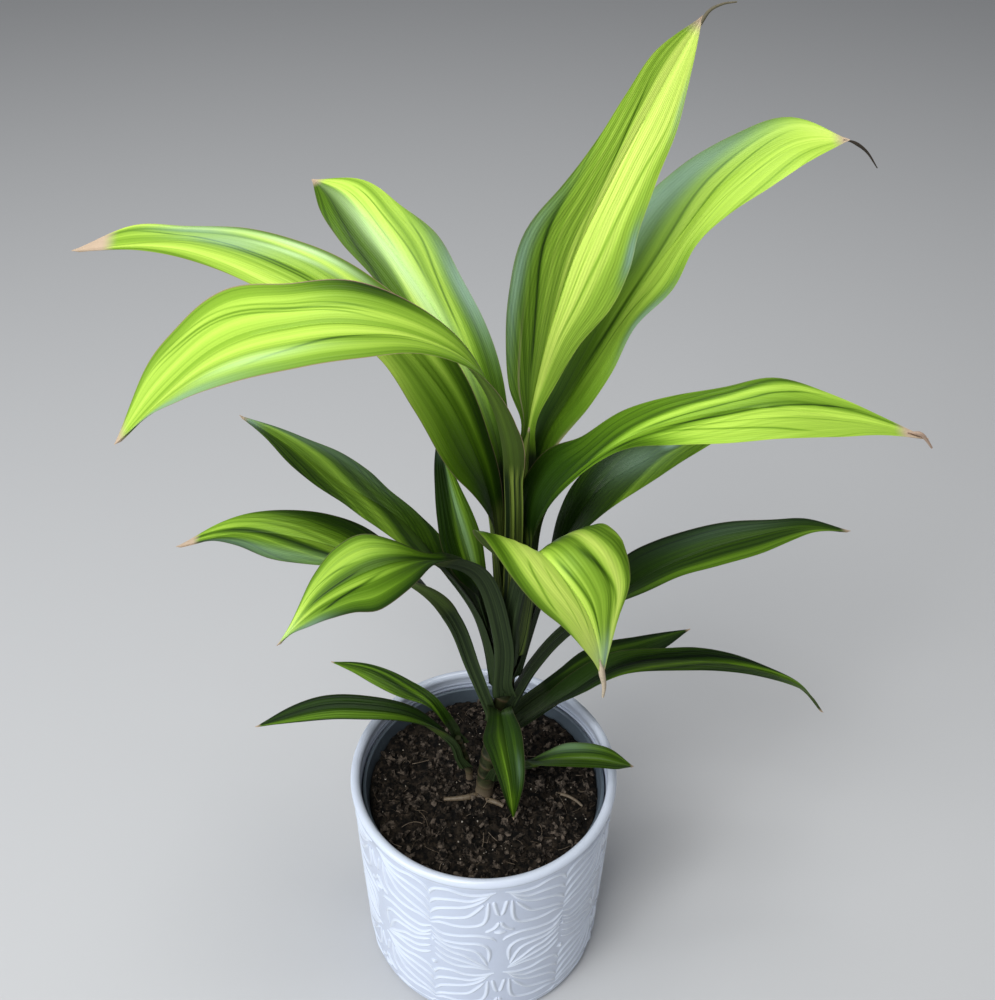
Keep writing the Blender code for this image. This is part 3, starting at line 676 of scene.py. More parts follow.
        bands=((0, "deep"), (0.35, "deep"), (0.5, "dark"), (0.75, "dark"), (0.85, "deep"),
               (1, "deep"))),
    "leafOverSoil": dict(
        node="leaf_over_soil", side=270, root=164, stalk=0.24, fold=(30, 20, 15), roll=(0, 0, 0),
        midrib=((8, -10, 183), (11, -18, 167), (14, -26, 150), (15, -30, 128)),
        rightEdge=(7, 11.5, 9.5, 7.5, 5.5, 3, 0), leftEdge=(5.5, 8, 8, 7, 5, 2.5, 0),
        lift=0.05, footTone=0.6, footReach=0.4,
        bands=((0, "deep"), (0.2, "dark"), (0.35, "green"), (0.5, "dark"), (0.85, "dark"),
               (1, "deep")),
        patches=(("bright", 0.45, 0.82, 0.22, 0.14, 0.2), ("paintedSheen", 0.8, 0.5, 0.08, 0.12, 0.2))),
    "leafLowRight": dict(
        node="leaf_low_right", side=320, root=128, stalk=0.31, fold=(30, 14, 10), roll=(0, 25, 20),
        midrib=((22, -3, 136), (38, -8, 148), (56, -10, 151), (73, -12, 147)),
        rightEdge=(4, 10, 11.5, 11, 10, 7.5, 0), leftEdge=(4, 9, 10, 9.5, 8.5, 6.5, 0),
        lift=0.05, footTone=0.8, footReach=0.2,
        bands=((0, "dark"), (0.25, "dark"), (0.42, "green"), (0.6, "dark"), (0.72, "dark"),
               (0.85, "green"), (1, "dark")),
        patches=(("paintedSheen", 0.85, 0.4, 0.16, 0.22, 0.4), ("pale", 0.44, 0.58, 0.05, 0.25, 0.25))),
    "leafSpear": dict(
        node="leaf_spear", side=280, root=242, stalk=0.5, fold=(55, 50, 40), roll=(0, 0, 0),
        midrib=((14, 2, 268), (14, 2, 290), (15, 3, 315), (17, 5, 335)),
        rightEdge=(2.2, 3, 3.4, 3, 1.8, 0), leftEdge=(2.2, 3, 3.4, 3, 1.8, 0),
        lift=0.2,
        bands=((0, "dark"), (0.3, "lime"), (0.7, "lime"), (1, "dark"))),
    "shootLeafUpper": dict(
        node="shoot_leaf_upper", stem="sideShoot", side=125, root=140, stalk=0.15,
        fold=(30, 14, 10), roll=(0, -10, -10),
        midrib=((-16, 8, 150), (-26, 14, 163), (-40, 22, 165), (-58, 30, 167), (-79, 38, 164)),
        rightEdge=(3, 2.5, 3, 3.5, 3, 2, 0), leftEdge=(3, 3.5, 6, 7, 6, 3, 0),
        lift=0.04, footTone=0.6, footReach=0.2, lean=(1.05, 0.45, 0.3),
        bands=((0, "dark"), (0.35, "dark"), (0.48, "green"), (0.6, "dark"), (1, "green"))),
    "shootLeafLower": dict(
        node="shoot_leaf_lower", stem="sideShoot", side=218, root=126, stalk=0.2,
        fold=(30, 14, 10), roll=(0, -60, -50),
        midrib=((-17, 1, 150), (-35, 3, 164), (-58, 5, 167), (-81, 8, 162), (-115, 10, 146)),
        rightEdge=(3, 5, 6, 6.5, 6.5, 4.5, 0), leftEdge=(3, 6, 6.5, 6.5, 5.5, 3, 0),
        footTone=0.7, footReach=0.3,
        bands=((0, "deep"), (0.25, "dark"), (0.38, "deep"), (0.55, "dark"), (0.75, "green"),
               (0.9, "green"), (1, "deep"))),
}

stems = {
    "cane": dict(points=((0, -4, 62), (0, -4, 107), (3, -2, 141), (8, 0, 169), (11, 1, 213),
                         (13, 2, 252)), foot=4.6 * mm, top=4.2 * mm, pitch=7 * mm, rise=0.3 * mm,
                 nodes=("cane",)),
    "sideShoot": dict(points=((-6, 4, 88), (-7, 4, 113), (-9, 4, 130), (-13, 4, 147)),
                      foot=2.4 * mm, top=1.5 * mm, pitch=6 * mm, rise=0.2 * mm,
                      nodes=("side_shoot",)),
    "rootStubLeft": dict(points=((-1, -5, 113.5), (-7, -8, 115.5), (-12, -9, 115.5),
                                 (-20, -9, 114.5)),
                         foot=1.8 * mm, top=0.9 * mm, pitch=3 * mm, rise=0.2 * mm),
    "rootStubRight": dict(points=((1, -8, 113.5), (6, -11, 115.5), (10, -13, 115)),
                          foot=1.5 * mm, top=1.0 * mm, pitch=3 * mm, rise=0.2 * mm),
    "twig": dict(points=((37, -4, 113.8), (42, -6, 115), (46.5, -9, 115.3), (50, -12, 114.6)),
                 foot=0.8 * mm, top=0.6 * mm, pitch=4 * mm, rise=0.15 * mm),
}


def smoothCurve(points, samples, fineness=24):
    points = np.array(points, float)
    ends = np.vstack([2 * points[0] - points[1], points, 2 * points[-1] - points[-2]])
    fine = []
    for a, b, c, d in zip(ends, ends[1:], ends[2:], ends[3:]):
        for t in np.linspace(0, 1, fineness, endpoint=False):
            fine.append(0.5 * (2 * b + (c - a) * t + (2 * a - 5 * b + 4 * c - d) * t ** 2
                               + (3 * b - a - 3 * c + d) * t ** 3))
    fine = np.array(fine + [points[-1]])
    length = np.concatenate([[0], np.cumsum(np.linalg.norm(np.diff(fine, axis=0), axis=1))])
    stations = np.linspace(0, length[-1], samples)
    return np.column_stack([np.interp(stations, length, fine[:, axis]) for axis in range(3)])


def polyCurve(name, lines):
    curve = bpy.data.curves.new(name, "CURVE")
    curve.dimensions = "3D"
    for points, radii in lines:
        spline = curve.splines.new("POLY")
        spline.points.add(len(points) - 1)
        for point, place, radius in zip(spline.points, points, radii):
            point.co = (*place, 1)
            point.radius = radius
    return addObject(name, curve)


def lineSource(name, points):
    return polyCurve(name, [(points, [1.0] * len(points))])


def unit(vectors):
    return vectors / np.linalg.norm(vectors, axis=-1, keepdims=True)


def carriedAlong(tangents, first):
    result = []
    current = np.array(first, float)
    for tangent in tangents:
        current = unit(current - tangent * current.dot(tangent))
        result.append(current)
    return np.array(result)


def besideStem(stem, height, outward, gap):
    line = smoothCurve(np.array(stem["points"]) * mm, 60)
    share = np.interp(height, line[:, 2], np.linspace(0, 1, len(line)))
    centre = np.array([np.interp(height, line[:, 2], line[:, axis]) for axis in range(3)])
    radius = stem["foot"] + (stem["top"] - stem["foot"]) * share
    return centre + outward * (radius + stem["rise"] + gap)


def throughThree(values, share):
    start, middle, end = values
    return (start * (1 - share) * (1 - 2 * share) + middle * 4 * share * (1 - share)
            + end * share * (2 * share - 1))


def halfWidths(leaf, blade):
    widths = []
    for edge in ("rightEdge", "leftEdge"):
        places = np.linspace(0, 1, len(leaf[edge]))
        shaped = smoothProfile(places, np.array(leaf[edge]) * mm, blade)
        widths.append(np.maximum(shaped, leafRule["tipHalfWidth"]))
    return widths


def smoothProfile(places, values, share):
    line = np.column_stack([places, values, np.zeros(len(places))])
    dense = smoothCurve(line, 200)
    return np.interp(share, dense[:, 0], dense[:, 1])


def leafGuide(leaf):
    rule = leafRule
    side = radians(leaf["side"])
    outward = np.array([cos(side), sin(side), 0])
    stem = stems[leaf["stem"]]
    root = besideStem(stem, leaf["root"] * mm, outward, rule["stalkSeat"])
    collar = besideStem(stem, leaf["root"] * mm + rule["collarRise"], outward,
                        rule["stalkSeat"] + rule["collarLean"])
    spine = smoothCurve(np.vstack([root, collar, np.array(leaf["midrib"]) * mm]), rule["rows"])
    along = np.linspace(0, 1, rule["rows"])
    blade = np.clip((along - leaf["stalk"]) / (1 - leaf["stalk"]), 0, 1)
    tangents = unit(np.gradient(spine, axis=0))
    flatAcross = carriedAlong(tangents, (-sin(side), cos(side), 0))
    flatUpward = np.cross(tangents, flatAcross)
    roll = np.radians(throughThree(leaf["roll"], blade)) * np.clip(along / leaf["stalk"], 0, 1)
    across = flatAcross * np.cos(roll)[:, None] + flatUpward * np.sin(roll)[:, None]
    upward = flatUpward * np.cos(roll)[:, None] - flatAcross * np.sin(roll)[:, None]
    clasp = np.clip(1 - along / rule["clasp"], 0, 1)
    opening = np.clip(blade / rule["throat"], 0, 1)
    fold = rule["stalkFold"] * (1 - opening) + throughThree(leaf["fold"], blade) * opening
    fold = fold + rule["claspFold"] * clasp
    rightWidth, leftWidth = [width + rule["claspWidth"] * clasp
                             for width in halfWidths(leaf, blade)]
    height, waves = leaf["ripple"]
    ripples = [height * mm * np.sin(2 * pi * waves * blade + lag)
               * np.sin(pi * blade) for lag in (0, rule["rippleLag"])]
    extra = (rule["stalkThickness"] - rule["bladeThickness"]) * (1 - blade) ** 3
    ends = np.ones(rule["rows"])
    ends[[0, -1]] = 0
    mesh = bpy.data.meshes.new("guide")
    mesh.from_pydata([tuple(point) for point in spine], [], [])
    vectors = {"acrossLeaf": across, "upwardLeaf": upward,
               "edges": np.column_stack([rightWidth, leftWidth, np.radians(fold)]),
               "waves": np.column_stack([ripples[0], ripples[1], blade]),
               "walls": np.column_stack([ends * rule["bladeThickness"], ends * extra, along])}
    for label, values in vectors.items():
        mesh.attributes.new(label, "FLOAT_VECTOR", "POINT").data.foreach_set("vector",
                                                                             values.ravel())
    return addPiece("guide", mesh)


def leafBladeTree():
    tree, start, end = newTree(
        "leafBlade", "GeometryNodeTree",
        {"Guide": ("Geometry", None), "rows": ("Int", 100), "columns": ("Int", 33),
         "edgeFlattening": ("Float", 0.35), "grooveDepth": ("Float", 0.0004),
         "grooveWidth": ("Float", 0.001), "keelDepth": ("Float", 0.0005),
         "pleatDepth": ("Float", 0.0002), "pleats": ("Float", 5.0),
         "upperFinish": ("Material", None), "underFinish": ("Material", None)},
        {"Shape": ("Geometry", None)})
    grid = addNode(tree, "GeometryNodeMeshGrid",
                   {"Size X": 2.0, "Size Y": 1.0, "Vertices X": start["columns"],
                    "Vertices Y": start["rows"]}).outputs["Mesh"]
    side, height, _ = splitXyz(tree, position(tree))
    along = plus(tree, height, 0.5)
    lastRow = minus(tree, start["rows"], 1.0)
    row = calc(tree, "ROUND", times(tree, along, lastRow))
    place = joinXyz(tree, calc(tree, "MULTIPLY_ADD", side, 0.5, 0.5), along, 0.0)
    sheet = storeAttribute(tree, grid, "leafUv", place, "FLOAT2", "CORNER")
    sheet = flipped(tree, sheet)  # faces up

    def ofGuide(value, index):
        values = {"Geometry": start["Guide"], "Value": value, "Index": index}
        return result(tree, "GeometryNodeSampleIndex", values, data_type="FLOAT_VECTOR")

    acrossLeaf, upwardLeaf, edges, waves = [
        ofGuide(readAttribute(tree, label, "FLOAT_VECTOR"), row)
        for label in ("acrossLeaf", "upwardLeaf", "edges", "waves")]
    rightWidth, leftWidth, fold = splitXyz(tree, edges)
    rightWave, leftWave, blade = splitXyz(tree, waves)
    reach = calc(tree, "ABSOLUTE", side)
    isLeft = calc(tree, "GREATER_THAN", side, 0.0)

    def ofSide(right, left):
        return calc(tree, "MULTIPLY_ADD", minus(tree, left, right), isLeft, right)

    halfWidth = ofSide(rightWidth, leftWidth)
    lift = times(tree, fold, minus(tree, 1.0, times(tree, start["edgeFlattening"], reach)))
    outward = times(tree, halfWidth, side)
    sideways = times(tree, outward, calc(tree, "COSINE", lift))
    raised = times(tree, halfWidth, reach, calc(tree, "SINE", lift))
    ripple = times(tree, ofSide(rightWave, leftWave), times(tree, side, side))
    swell = calc(tree, "SINE", times(tree, blade, pi))
    wave = calc(tree, "SINE", times(tree, reach, times(tree, start["pleats"], 2 * pi)))
    pleat = times(tree, start["pleatDepth"], swell, wave)
    groove = times(tree, start["grooveDepth"], bellCurve(tree, outward, start["grooveWidth"]),
                   swell)
    raised = plus(tree, raised, ripple, minus(tree, pleat, groove))
    sidestep = vectorCalc(tree, "SCALE", acrossLeaf, sideways)
    point = vectorCalc(tree, "ADD", ofGuide(position(tree), row), vectorCalc(
        tree, "ADD", sidestep, vectorCalc(tree, "SCALE", upwardLeaf, raised)))
    upper = moved(tree, sheet, Position=point)

    # the under side: the upper one let down by a thickness that runs out at the edges
    u, v, _ = splitXyz(tree, readAttribute(tree, "leafUv", "FLOAT_VECTOR"))
    walls = ofGuide(readAttribute(tree, "walls", "FLOAT_VECTOR"),
                    calc(tree, "ROUND", times(tree, v, lastRow)))
    bladeWall, stalkWall, _ = splitXyz(tree, walls)
    far = calc(tree, "ABSOLUTE", calc(tree, "MULTIPLY_ADD", u, 2.0, -1.0))
    thinning = minus(tree, 1.0, calc(tree, "POWER", far, 8.0))
    keel = times(tree, bellCurve(tree, far, leafRule["keelShare"]), start["keelDepth"],
                 calc(tree, "DIVIDE", bladeWall, leafRule["bladeThickness"]))
    stalkPart = times(tree, stalkWall, minus(tree, 1.0, far))
    wall = plus(tree, times(tree, bladeWall, thinning), plus(tree, keel, stalkPart))
    inward = vectorCalc(tree, "SCALE", surfaceNormal(tree), times(tree, wall, -1.0))
    lower = flipped(tree, moved(tree, upper, Offset=inward))
    lower = storeAttribute(tree, lower, "isUnder", True, "BOOLEAN", "FACE")
    whole = result(tree, "GeometryNodeMergeByDistance",
                   {"Geometry": joined(tree, lower, upper), "Distance": 0.01 * mm})
    edgeAngle = result(tree, "GeometryNodeInputMeshEdgeAngle")
    sharp = calc(tree, "GREATER_THAN", edgeAngle, radians(leafRule["sharpAngle"]))
    values = {"Geometry": smoothShaded(tree, whole), "Selection": sharp, "Shade Smooth": False}
    whole = result(tree, "GeometryNodeSetShadeSmooth", values, domain="EDGE")
    isUnder = readAttribute(tree, "isUnder", "BOOLEAN")
    finishTree(tree, end, whole, ((start["upperFinish"], None), (start["underFinish"], isUnder)))
    return tree


def makeLeaves():
    tree = leafBladeTree()
    shared = {key: leafRule[key] for key in ("rows", "columns", "edgeFlattening", "grooveDepth",
                                             "grooveWidth", "keelDepth", "pleatDepth", "pleats")}
    for name, own in leaves.items():
        leaf = {**plainLeaf, **own}
        finishes = {"upperFinish": leafMaterial(name + "Upper", leaf),
                    "underFinish": leafMaterial(name + "Under", leaf, under=True)}
        piece = growPiece(name, leafGuide(leaf), tree, {**shared, **finishes})
        shades = [leafShades[shade] for _, shade in leaf["bands"]]
        isBright = sum(shades) / len(shades) > 0.5
        seat(piece, "leaf_bright" if isBright else "leaf_dark", leaf["node"])


makeLeaves()
print("leaves grown")


# pots

coverPot = dict(height=130 * mm, rimRadius=67 * mm, bead=2.4 * mm, neckDrop=5.8 * mm,
                neckRadius=65.8 * mm, baseRadius=63.4 * mm, wall=3.2 * mm, floor=5 * mm,
                footRounding=5 * mm, sides=160)
nurseryPot = dict(height=115 * mm, lipRadius=61.4 * mm, lipDrop=6 * mm, mouthRadius=59.6 * mm,
                  baseRadius=46 * mm, wall=1.2 * mm, sides=128, clearance=0.3 * mm,
                  holes=6, holeRadius=4 * mm, holeCircle=34 * mm)
# the crest colour is a painted highlight, put on the ridge tops and the rim's top
glazeLook = dict(roughness=0.22, thick=(0.60, 0.67, 0.82), thin=(0.67, 0.74, 0.89),
                 paintedCrestLight=(0.77, 0.84, 0.95), rimHighlightHeights=(122.5 * mm, 125.5 * mm))
plasticLook = dict(roughness=0.42, dark=(0.075, 0.10, 0.125), light=(0.13, 0.165, 0.20))


def turned(profile, sides, name):
    bm = bmesh.new()
    verts = [bm.verts.new((radius, 0, height)) for radius, height in profile]
    edges = [bm.edges.new(pair) for pair in zip(verts, verts[1:])]
    bmesh.ops.spin(bm, geom=verts + edges, axis=(0, 0, 1), cent=(0, 0, 0), angle=2 * pi,
                   steps=sides, use_merge=True)
    bmesh.ops.remove_doubles(bm, verts=bm.verts, dist=1e-6)
    bmesh.ops.recalc_face_normals(bm, faces=bm.faces)
    mesh = meshOf(bm, name)
    mesh.shade_smooth()
    mesh.set_sharp_from_angle(angle=radians(40))
    return mesh


def arc(centre, radius, start, end, steps):
    angles = [radians(start + (end - start) * i / steps) for i in range(steps + 1)]
    return [(centre[0] + radius * cos(a), centre[1] + radius * sin(a)) for a in angles]


def glazeMaterial(look):
    material, tree, shader = newMaterial("whiteGlaze", look["roughness"])
    place = objectPlace(tree)
    color = mixColor(tree, noise(tree, place, 35.0, 3.0), look["thick"], look["thin"])
    # painted highlight: the rim's top and the ridge crests are mixed towards the lighter crest
    # colour
    rim = smoothStep(tree, splitXyz(tree, place)[2], *look["rimHighlightHeights"], 0.0, 0.5)
    ridge = addNode(tree, "ShaderNodeAttribute", attribute_name="paintedCrestLight").outputs["Fac"]
    dress(tree, shader,
          **{"Base Color": mixColor(tree, calc(tree, "MAXIMUM", ridge, rim), color, look["paintedCrestLight"]),
             "Normal": bump(tree, noise(tree, place, 160.0, 2.0), 0.15, 0.6 * mm)})
    return material


def plasticMaterial(look):
    material, tree, shader = newMaterial("greyPlastic", look["roughness"])
    scuffs = noise(tree, objectPlace(tree), 220.0, 4.0)
    dress(tree, shader, **{"Base Color": mixColor(tree, scuffs, look["dark"], look["light"]),
                           "Roughness": calc(tree, "MULTIPLY_ADD", scuffs, 0.3, 0.28)})
    return material


whiteGlaze = glazeMaterial(glazeLook)


def makeCoverPot(pot):
    beadCentre = (pot["rimRadius"] - pot["bead"], pot["height"] - pot["bead"])
    footCentre = (pot["baseRadius"] - pot["footRounding"], pot["footRounding"])
    neckHeight = pot["height"] - pot["neckDrop"]
    inside = pot["baseRadius"] - pot["wall"]
    profile = [(0, 0)] + arc(footCentre, pot["footRounding"], -90, 0, 8)
    profile += [(pot["baseRadius"] + (pot["neckRadius"] - pot["baseRadius"]) * i / 12,
                 pot["footRounding"] + (neckHeight - pot["footRounding"]) * i / 12)
                for i in range(1, 13)]
    profile += arc(beadCentre, pot["bead"], -35, 190, 20)
    throat = pot["neckRadius"] - pot["wall"]
    profile += [(throat - 0.25 * mm * (1 - cos(2 * pi * i / 6)), neckHeight - i * 0.45 * mm)
                for i in range(19)]
    profile += [(inside, pot["floor"] + pot["footRounding"])]
    profile += [(inside - pot["footRounding"], pot["floor"]), (0, pot["floor"])]
    piece = addPiece("coverPotGlazed", turned(profile, pot["sides"], "coverPotGlazed"))
    piece.data.materials.append(whiteGlaze)
    seat(piece, "glaze", "cover_pot")


def drillHoles(piece, pot, middle):
    bm = bmesh.new()
    for i in range(pot["holes"]):
        angle = 2 * pi * i / pot["holes"]
        hole = bmesh.ops.create_cone(bm, cap_ends=True, segments=24, radius1=pot["holeRadius"],
                                     radius2=pot["holeRadius"], depth=4 * pot["wall"])
        place = (pot["holeCircle"] * cos(angle), pot["holeCircle"] * sin(angle), middle)
        bmesh.ops.translate(bm, verts=hole["verts"], vec=place)
    drill = addPiece("drainDrill", meshOf(bm, "drainDrill"))
    cut = piece.modifiers.new("drain", "BOOLEAN")
    cut.operation = "DIFFERENCE"
    cut.object = drill
    drilled = evaluatedMesh(piece, cut)
    bpy.data.objects.remove(drill)
    drilled.name = piece.name
    piece.data = drilled


def makeNurseryPot(pot):
    bottom = coverPot["floor"] + pot["clearance"]
    top = bottom + pot["height"]
    rounding = pot["wall"] / 2
    slope = (pot["mouthRadius"] - pot["baseRadius"] + pot["wall"]) / pot["height"]
    lipFoot = pot["height"] - pot["lipDrop"]
    outer = pot["baseRadius"] + slope * lipFoot
    profile = [(0, bottom), (pot["baseRadius"] - pot["wall"], bottom),
               (pot["baseRadius"], bottom + pot["wall"]), (outer, bottom + lipFoot),
               (pot["lipRadius"] - rounding, bottom + lipFoot),
               (pot["lipRadius"], bottom + lipFoot + rounding)]
    profile += arc((pot["lipRadius"] - rounding, top - rounding), rounding, 0, 90, 5)
    profile += arc((pot["mouthRadius"] + rounding, top - rounding), rounding, 90, 180, 5)
    profile += [(pot["baseRadius"] - pot["wall"], bottom + pot["wall"]), (0, bottom + pot["wall"])]
    piece = addPiece("nurseryPotPlastic", turned(profile, pot["sides"], "nurseryPotPlastic"))
    drillHoles(piece, pot, bottom + pot["wall"] / 2)
    piece.data.materials.append(plasticMaterial(plasticLook))
    seat(piece, "pot_plastic", "nursery_pot")


makeCoverPot(coverPot)
makeNurseryPot(nurseryPot)
print("pots turned")


# raised flower tiles round the cover pot
# lines of half a tile: across from its middle (0) to its seam (1), and up from a flower's
# centre in cm

tiles = dict(meanRadius=64.6 * mm, count=6, middle=8.0, rows=(123.3 * mm, 48.1 * mm),
             period=75.2 * mm, top=124 * mm, foot=7 * mm, ridgeHalfWidth=1.75 * mm,
             ridgeRise=0.78 * mm, ridgeSunk=0.1 * mm)
petalLines = (
    ((0.06, -0.18), (0.28, -0.38), (0.5, -0.38), (0.7, -0.2), (0.9, -0.42), (0.985, -1.0)),
    ((0.1, -0.25), (0.22, -0.55), (0.4, -0.93), (0.62, -0.98), (0.88, -1.28), (0.985, -1.8)),
    ((0.14, -0.4), (0.3, -1.08), (0.48, -1.5), (0.68, -1.75), (0.87, -2.1), (0.985, -2.7)),
    ((0.22, -1.2), (0.31, -1.7), (0.44, -2.3), (0.62, -2.58), (0.86, -2.9), (0.985, -3.3)),
    ((0.16, -1.0), (0.18, -2.3), (0.25, -2.95), (0.43, -3.22), (0.62, -3.3), (0.83, -3.28),
     (0.985, -3.6)),
    ((0.05, 2.98), (0.13, 3.3), (0.32, 3.5), (0.6, 3.32), (0.82, 3.25), (0.985, 3.62)),
    ((0.15, 0.96), (0.14, 1.92), (0.19, 2.46), (0.32, 2.72), (0.59, 2.62), (0.83, 2.65),
     (0.985, 3.2)),
    ((0.17, 0.6), (0.25, 1.46), (0.35, 2.0), (0.52, 2.15), (0.74, 2.2), (0.97, 2.75)),
    ((0.17, 0.45), (0.35, 1.0), (0.52, 1.5), (0.7, 1.68), (0.95, 2.25)),
    ((0.15, 0.3), (0.36, 0.7), (0.58, 0.98), (0.76, 1.15), (0.95, 1.65)),
    ((0.13, 0.2), (0.36, 0.42), (0.6, 0.4), (0.78, 0.6), (0.95, 1.05)),
    ((0.09, -0.94), (0.075, -1.3), (0.05, -1.8), (0.02, -2.2)),
    ((0.2, 3.84), (0.1, 4.1), (0.04, 4.4), (0.012, 4.72)),
)
# short thick ridges: (from, to, width)
buds = (((-0.08, 3.8), (0.08, 3.8), 1.7), ((1.0, 0.05), (1.0, 0.4), 1.7),
        ((1.0, -0.8), (1.0, -0.6), 1.1), ((1.0, 2.3), (1.0, 2.5), 1.1))


def reliefLines():
    halfTile = pi * coverPot["neckRadius"] / tiles["count"]
    ridges = [([(hand * x, y) for x, y in line], 1.0, 26) for line in petalLines
              for hand in (-1, 1)]
    ridges += [(ends, width, 7) for *ends, width in buds]
    lines = []
    for flower in (tiles["rows"][0], tiles["rows"][1], tiles["rows"][1] - tiles["period"]):
        for line, width, samples in ridges:
            points = smoothCurve([(x * halfTile, flower + y * 0.01, 0) for x, y in line], samples)
            points = points[(points[:, 1] < tiles["top"]) & (points[:, 1] > tiles["foot"])]
            last = len(points) - 1
            if last >= 3:
                thinner = [min(1.0, 0.45 + 0.2 * min(i, last - i)) for i in range(last + 1)]
                lines.append((points, [width * share for share in thinner]))
    return polyCurve("reliefLines", lines)


def reliefTree():
    tree, start, end = newTree(
        "potRelief", "GeometryNodeTree",
        {"Lines": ("Geometry", None), "ridgeHalfWidth": ("Float", 0.001),
         "ridgeRise": ("Float", 0.0008), "ridgeSunk": ("Float", 0.0003), "tiles": ("Int", 6),
         "turn": ("Float", 0.0), "footRadius": ("Float", 0.063), "flare": ("Float", 0.02),
         "finish": ("Material", None)},
        {"Shape": ("Geometry", None)})
    copies = addNode(tree, "GeometryNodeDuplicateElements",
                     {"Geometry": start["Lines"], "Amount": start["tiles"]}, domain="SPLINE")
    lines = storeAttribute(tree, copies.outputs[0], "tileIndex", copies.outputs[1])
    lines = result(tree, "GeometryNodeSetCurveNormal", {"Curve": lines}, mode="Z_UP")
    halfWidth = start["ridgeHalfWidth"]
    section = result(tree, "GeometryNodeCurvePrimitiveLine",
                     {"Start": joinXyz(tree, times(tree, halfWidth, -1.0), 0.0, 0.0),
                      "End": joinXyz(tree, halfWidth, 0.0, 0.0)})
    section = result(tree, "GeometryNodeResampleCurve", {"Curve": section, "Count": 9})
    x = splitXyz(tree, position(tree))[0]
    bell = bellCurve(tree, x, times(tree, halfWidth, 0.52))
    rise = minus(tree, start["ridgeSunk"], times(tree, bell, start["ridgeRise"]))
    section = moved(tree, section, Offset=joinXyz(tree, 0.0, rise, 0.0))
    # the bell share is kept for the glaze, which paints a highlight along the ridge tops
    section = storeAttribute(tree, section, "paintedCrestLight", bell)
    section = result(tree, "GeometryNodeSetSplineCyclic", {"Geometry": section, "Cyclic": True})
    ridges = swept(tree, lines, section, result(tree, "GeometryNodeInputRadius"))
    x, y, z = splitXyz(tree, position(tree))
    wall = calc(tree, "MULTIPLY_ADD", y, start["flare"], start["footRadius"])
    tileAngle = calc(tree, "DIVIDE", 2 * pi, start["tiles"])
    angle = plus(tree, calc(tree, "DIVIDE", x, tiles["meanRadius"]), start["turn"])
    angle = calc(tree, "MULTIPLY_ADD", readAttribute(tree, "tileIndex"), tileAngle, angle)
    reach = plus(tree, wall, z)
    bent = joinXyz(tree, times(tree, reach, calc(tree, "SINE", angle)),
                   times(tree, reach, -1.0, calc(tree, "COSINE", angle)), y)
    whole = smoothShaded(tree, moved(tree, ridges, Position=bent))
    finishTree(tree, end, whole, ((start["finish"], None),))
    return tree


def makeRelief():
    rise = coverPot["height"] - coverPot["neckDrop"] - coverPot["footRounding"]
    flare = (coverPot["neckRadius"] - coverPot["baseRadius"]) / rise
    footRadius = coverPot["baseRadius"] - flare * coverPot["footRounding"]
    values = {"tiles": tiles["count"], "turn": radians(tiles["middle"]), "flare": flare,
              "footRadius": footRadius, "finish": whiteGlaze}
    values.update({key: tiles[key] for key in ("ridgeHalfWidth", "ridgeRise", "ridgeSunk")})
    piece = growPiece("flowerRelief", reliefLines(), reliefTree(), values)
    seat(piece, "glaze")


makeRelief()
print("relief raised")


# stems

barkLook = dict(roughness=0.5, dark=(0.009, 0.013, 0.003), light=(0.034, 0.040, 0.012),
                foot=(0.17, 0.13, 0.085), footHeights=(114 * mm, 128 * mm),
                scar=(0.10, 0.065, 0.035))


def barkMaterial(look):
    material, tree, shader = newMaterial("greenBark", look["roughness"])
    place = objectPlace(tree)
    scar = addNode(tree, "ShaderNodeAttribute", attribute_name="scar").outputs["Fac"]
    mottle = noise(tree, place, 180.0, 4.0)
    color = mixColor(tree, smoothStep(tree, mottle, 0.35, 0.65), look["dark"], look["light"])
    foot = smoothStep(tree, splitXyz(tree, place)[2], *look["footHeights"], 1.0, 0.0)
    color = mixColor(tree, foot, color, look["foot"])
    dress(tree, shader,
          **{"Base Color": mixColor(tree, times(tree, scar, 0.7), color, look["scar"]),
             "Normal": bump(tree, mottle, 0.4, 0.5 * mm)})
    return material


def stemTree():
    tree, start, end = newTree(
        "scarredStem", "GeometryNodeTree",
        {"Line": ("Geometry", None), "foot": ("Float", 0.0045), "top": ("Float", 0.004),
         "pitch": ("Float", 0.007), "rise": ("Float", 0.0003), "step": ("Float", 0.0006),
         "start": ("Float", 1.0), "sides": ("Int", 28), "finish": ("Material", None)},
        {"Shape": ("Geometry", None)})
    line = result(tree, "GeometryNodeResampleCurve",
                  {"Curve": start["Line"], "Length": start["step"]}, mode="LENGTH")
    spot = tree.nodes.new("GeometryNodeSplineParameter").outputs
    line = storeAttribute(tree, line, "stemLength", spot["Length"])
    radius = calc(tree, "MULTIPLY_ADD", minus(tree, start["top"], start["foot"]), spot["Factor"],
                  start["foot"])
    radius = times(tree, radius, smoothStep(tree, spot["Factor"], 0.0, 0.35, start["start"]))
    ring = result(tree, "GeometryNodeCurvePrimitiveCircle",
                  {"Resolution": start["sides"], "Radius": 1.0})
    skin = swept(tree, line, ring, radius)
    normal = surfaceNormal(tree)
    lean = times(tree, splitXyz(tree, normal)[0], 0.12)
    turns = calc(tree, "DIVIDE", readAttribute(tree, "stemLength"), start["pitch"])
    phase = calc(tree, "FRACT", plus(tree, turns, lean))
    scar = bellCurve(tree, minus(tree, phase, 0.5), 0.09)
    marked = storeAttribute(tree, skin, "scar", scar)
    offset = vectorCalc(tree, "SCALE", normal, times(tree, scar, start["rise"]))
    whole = smoothShaded(tree, moved(tree, marked, Offset=offset))
    finishTree(tree, end, whole, ((start["finish"], None),))
    return tree


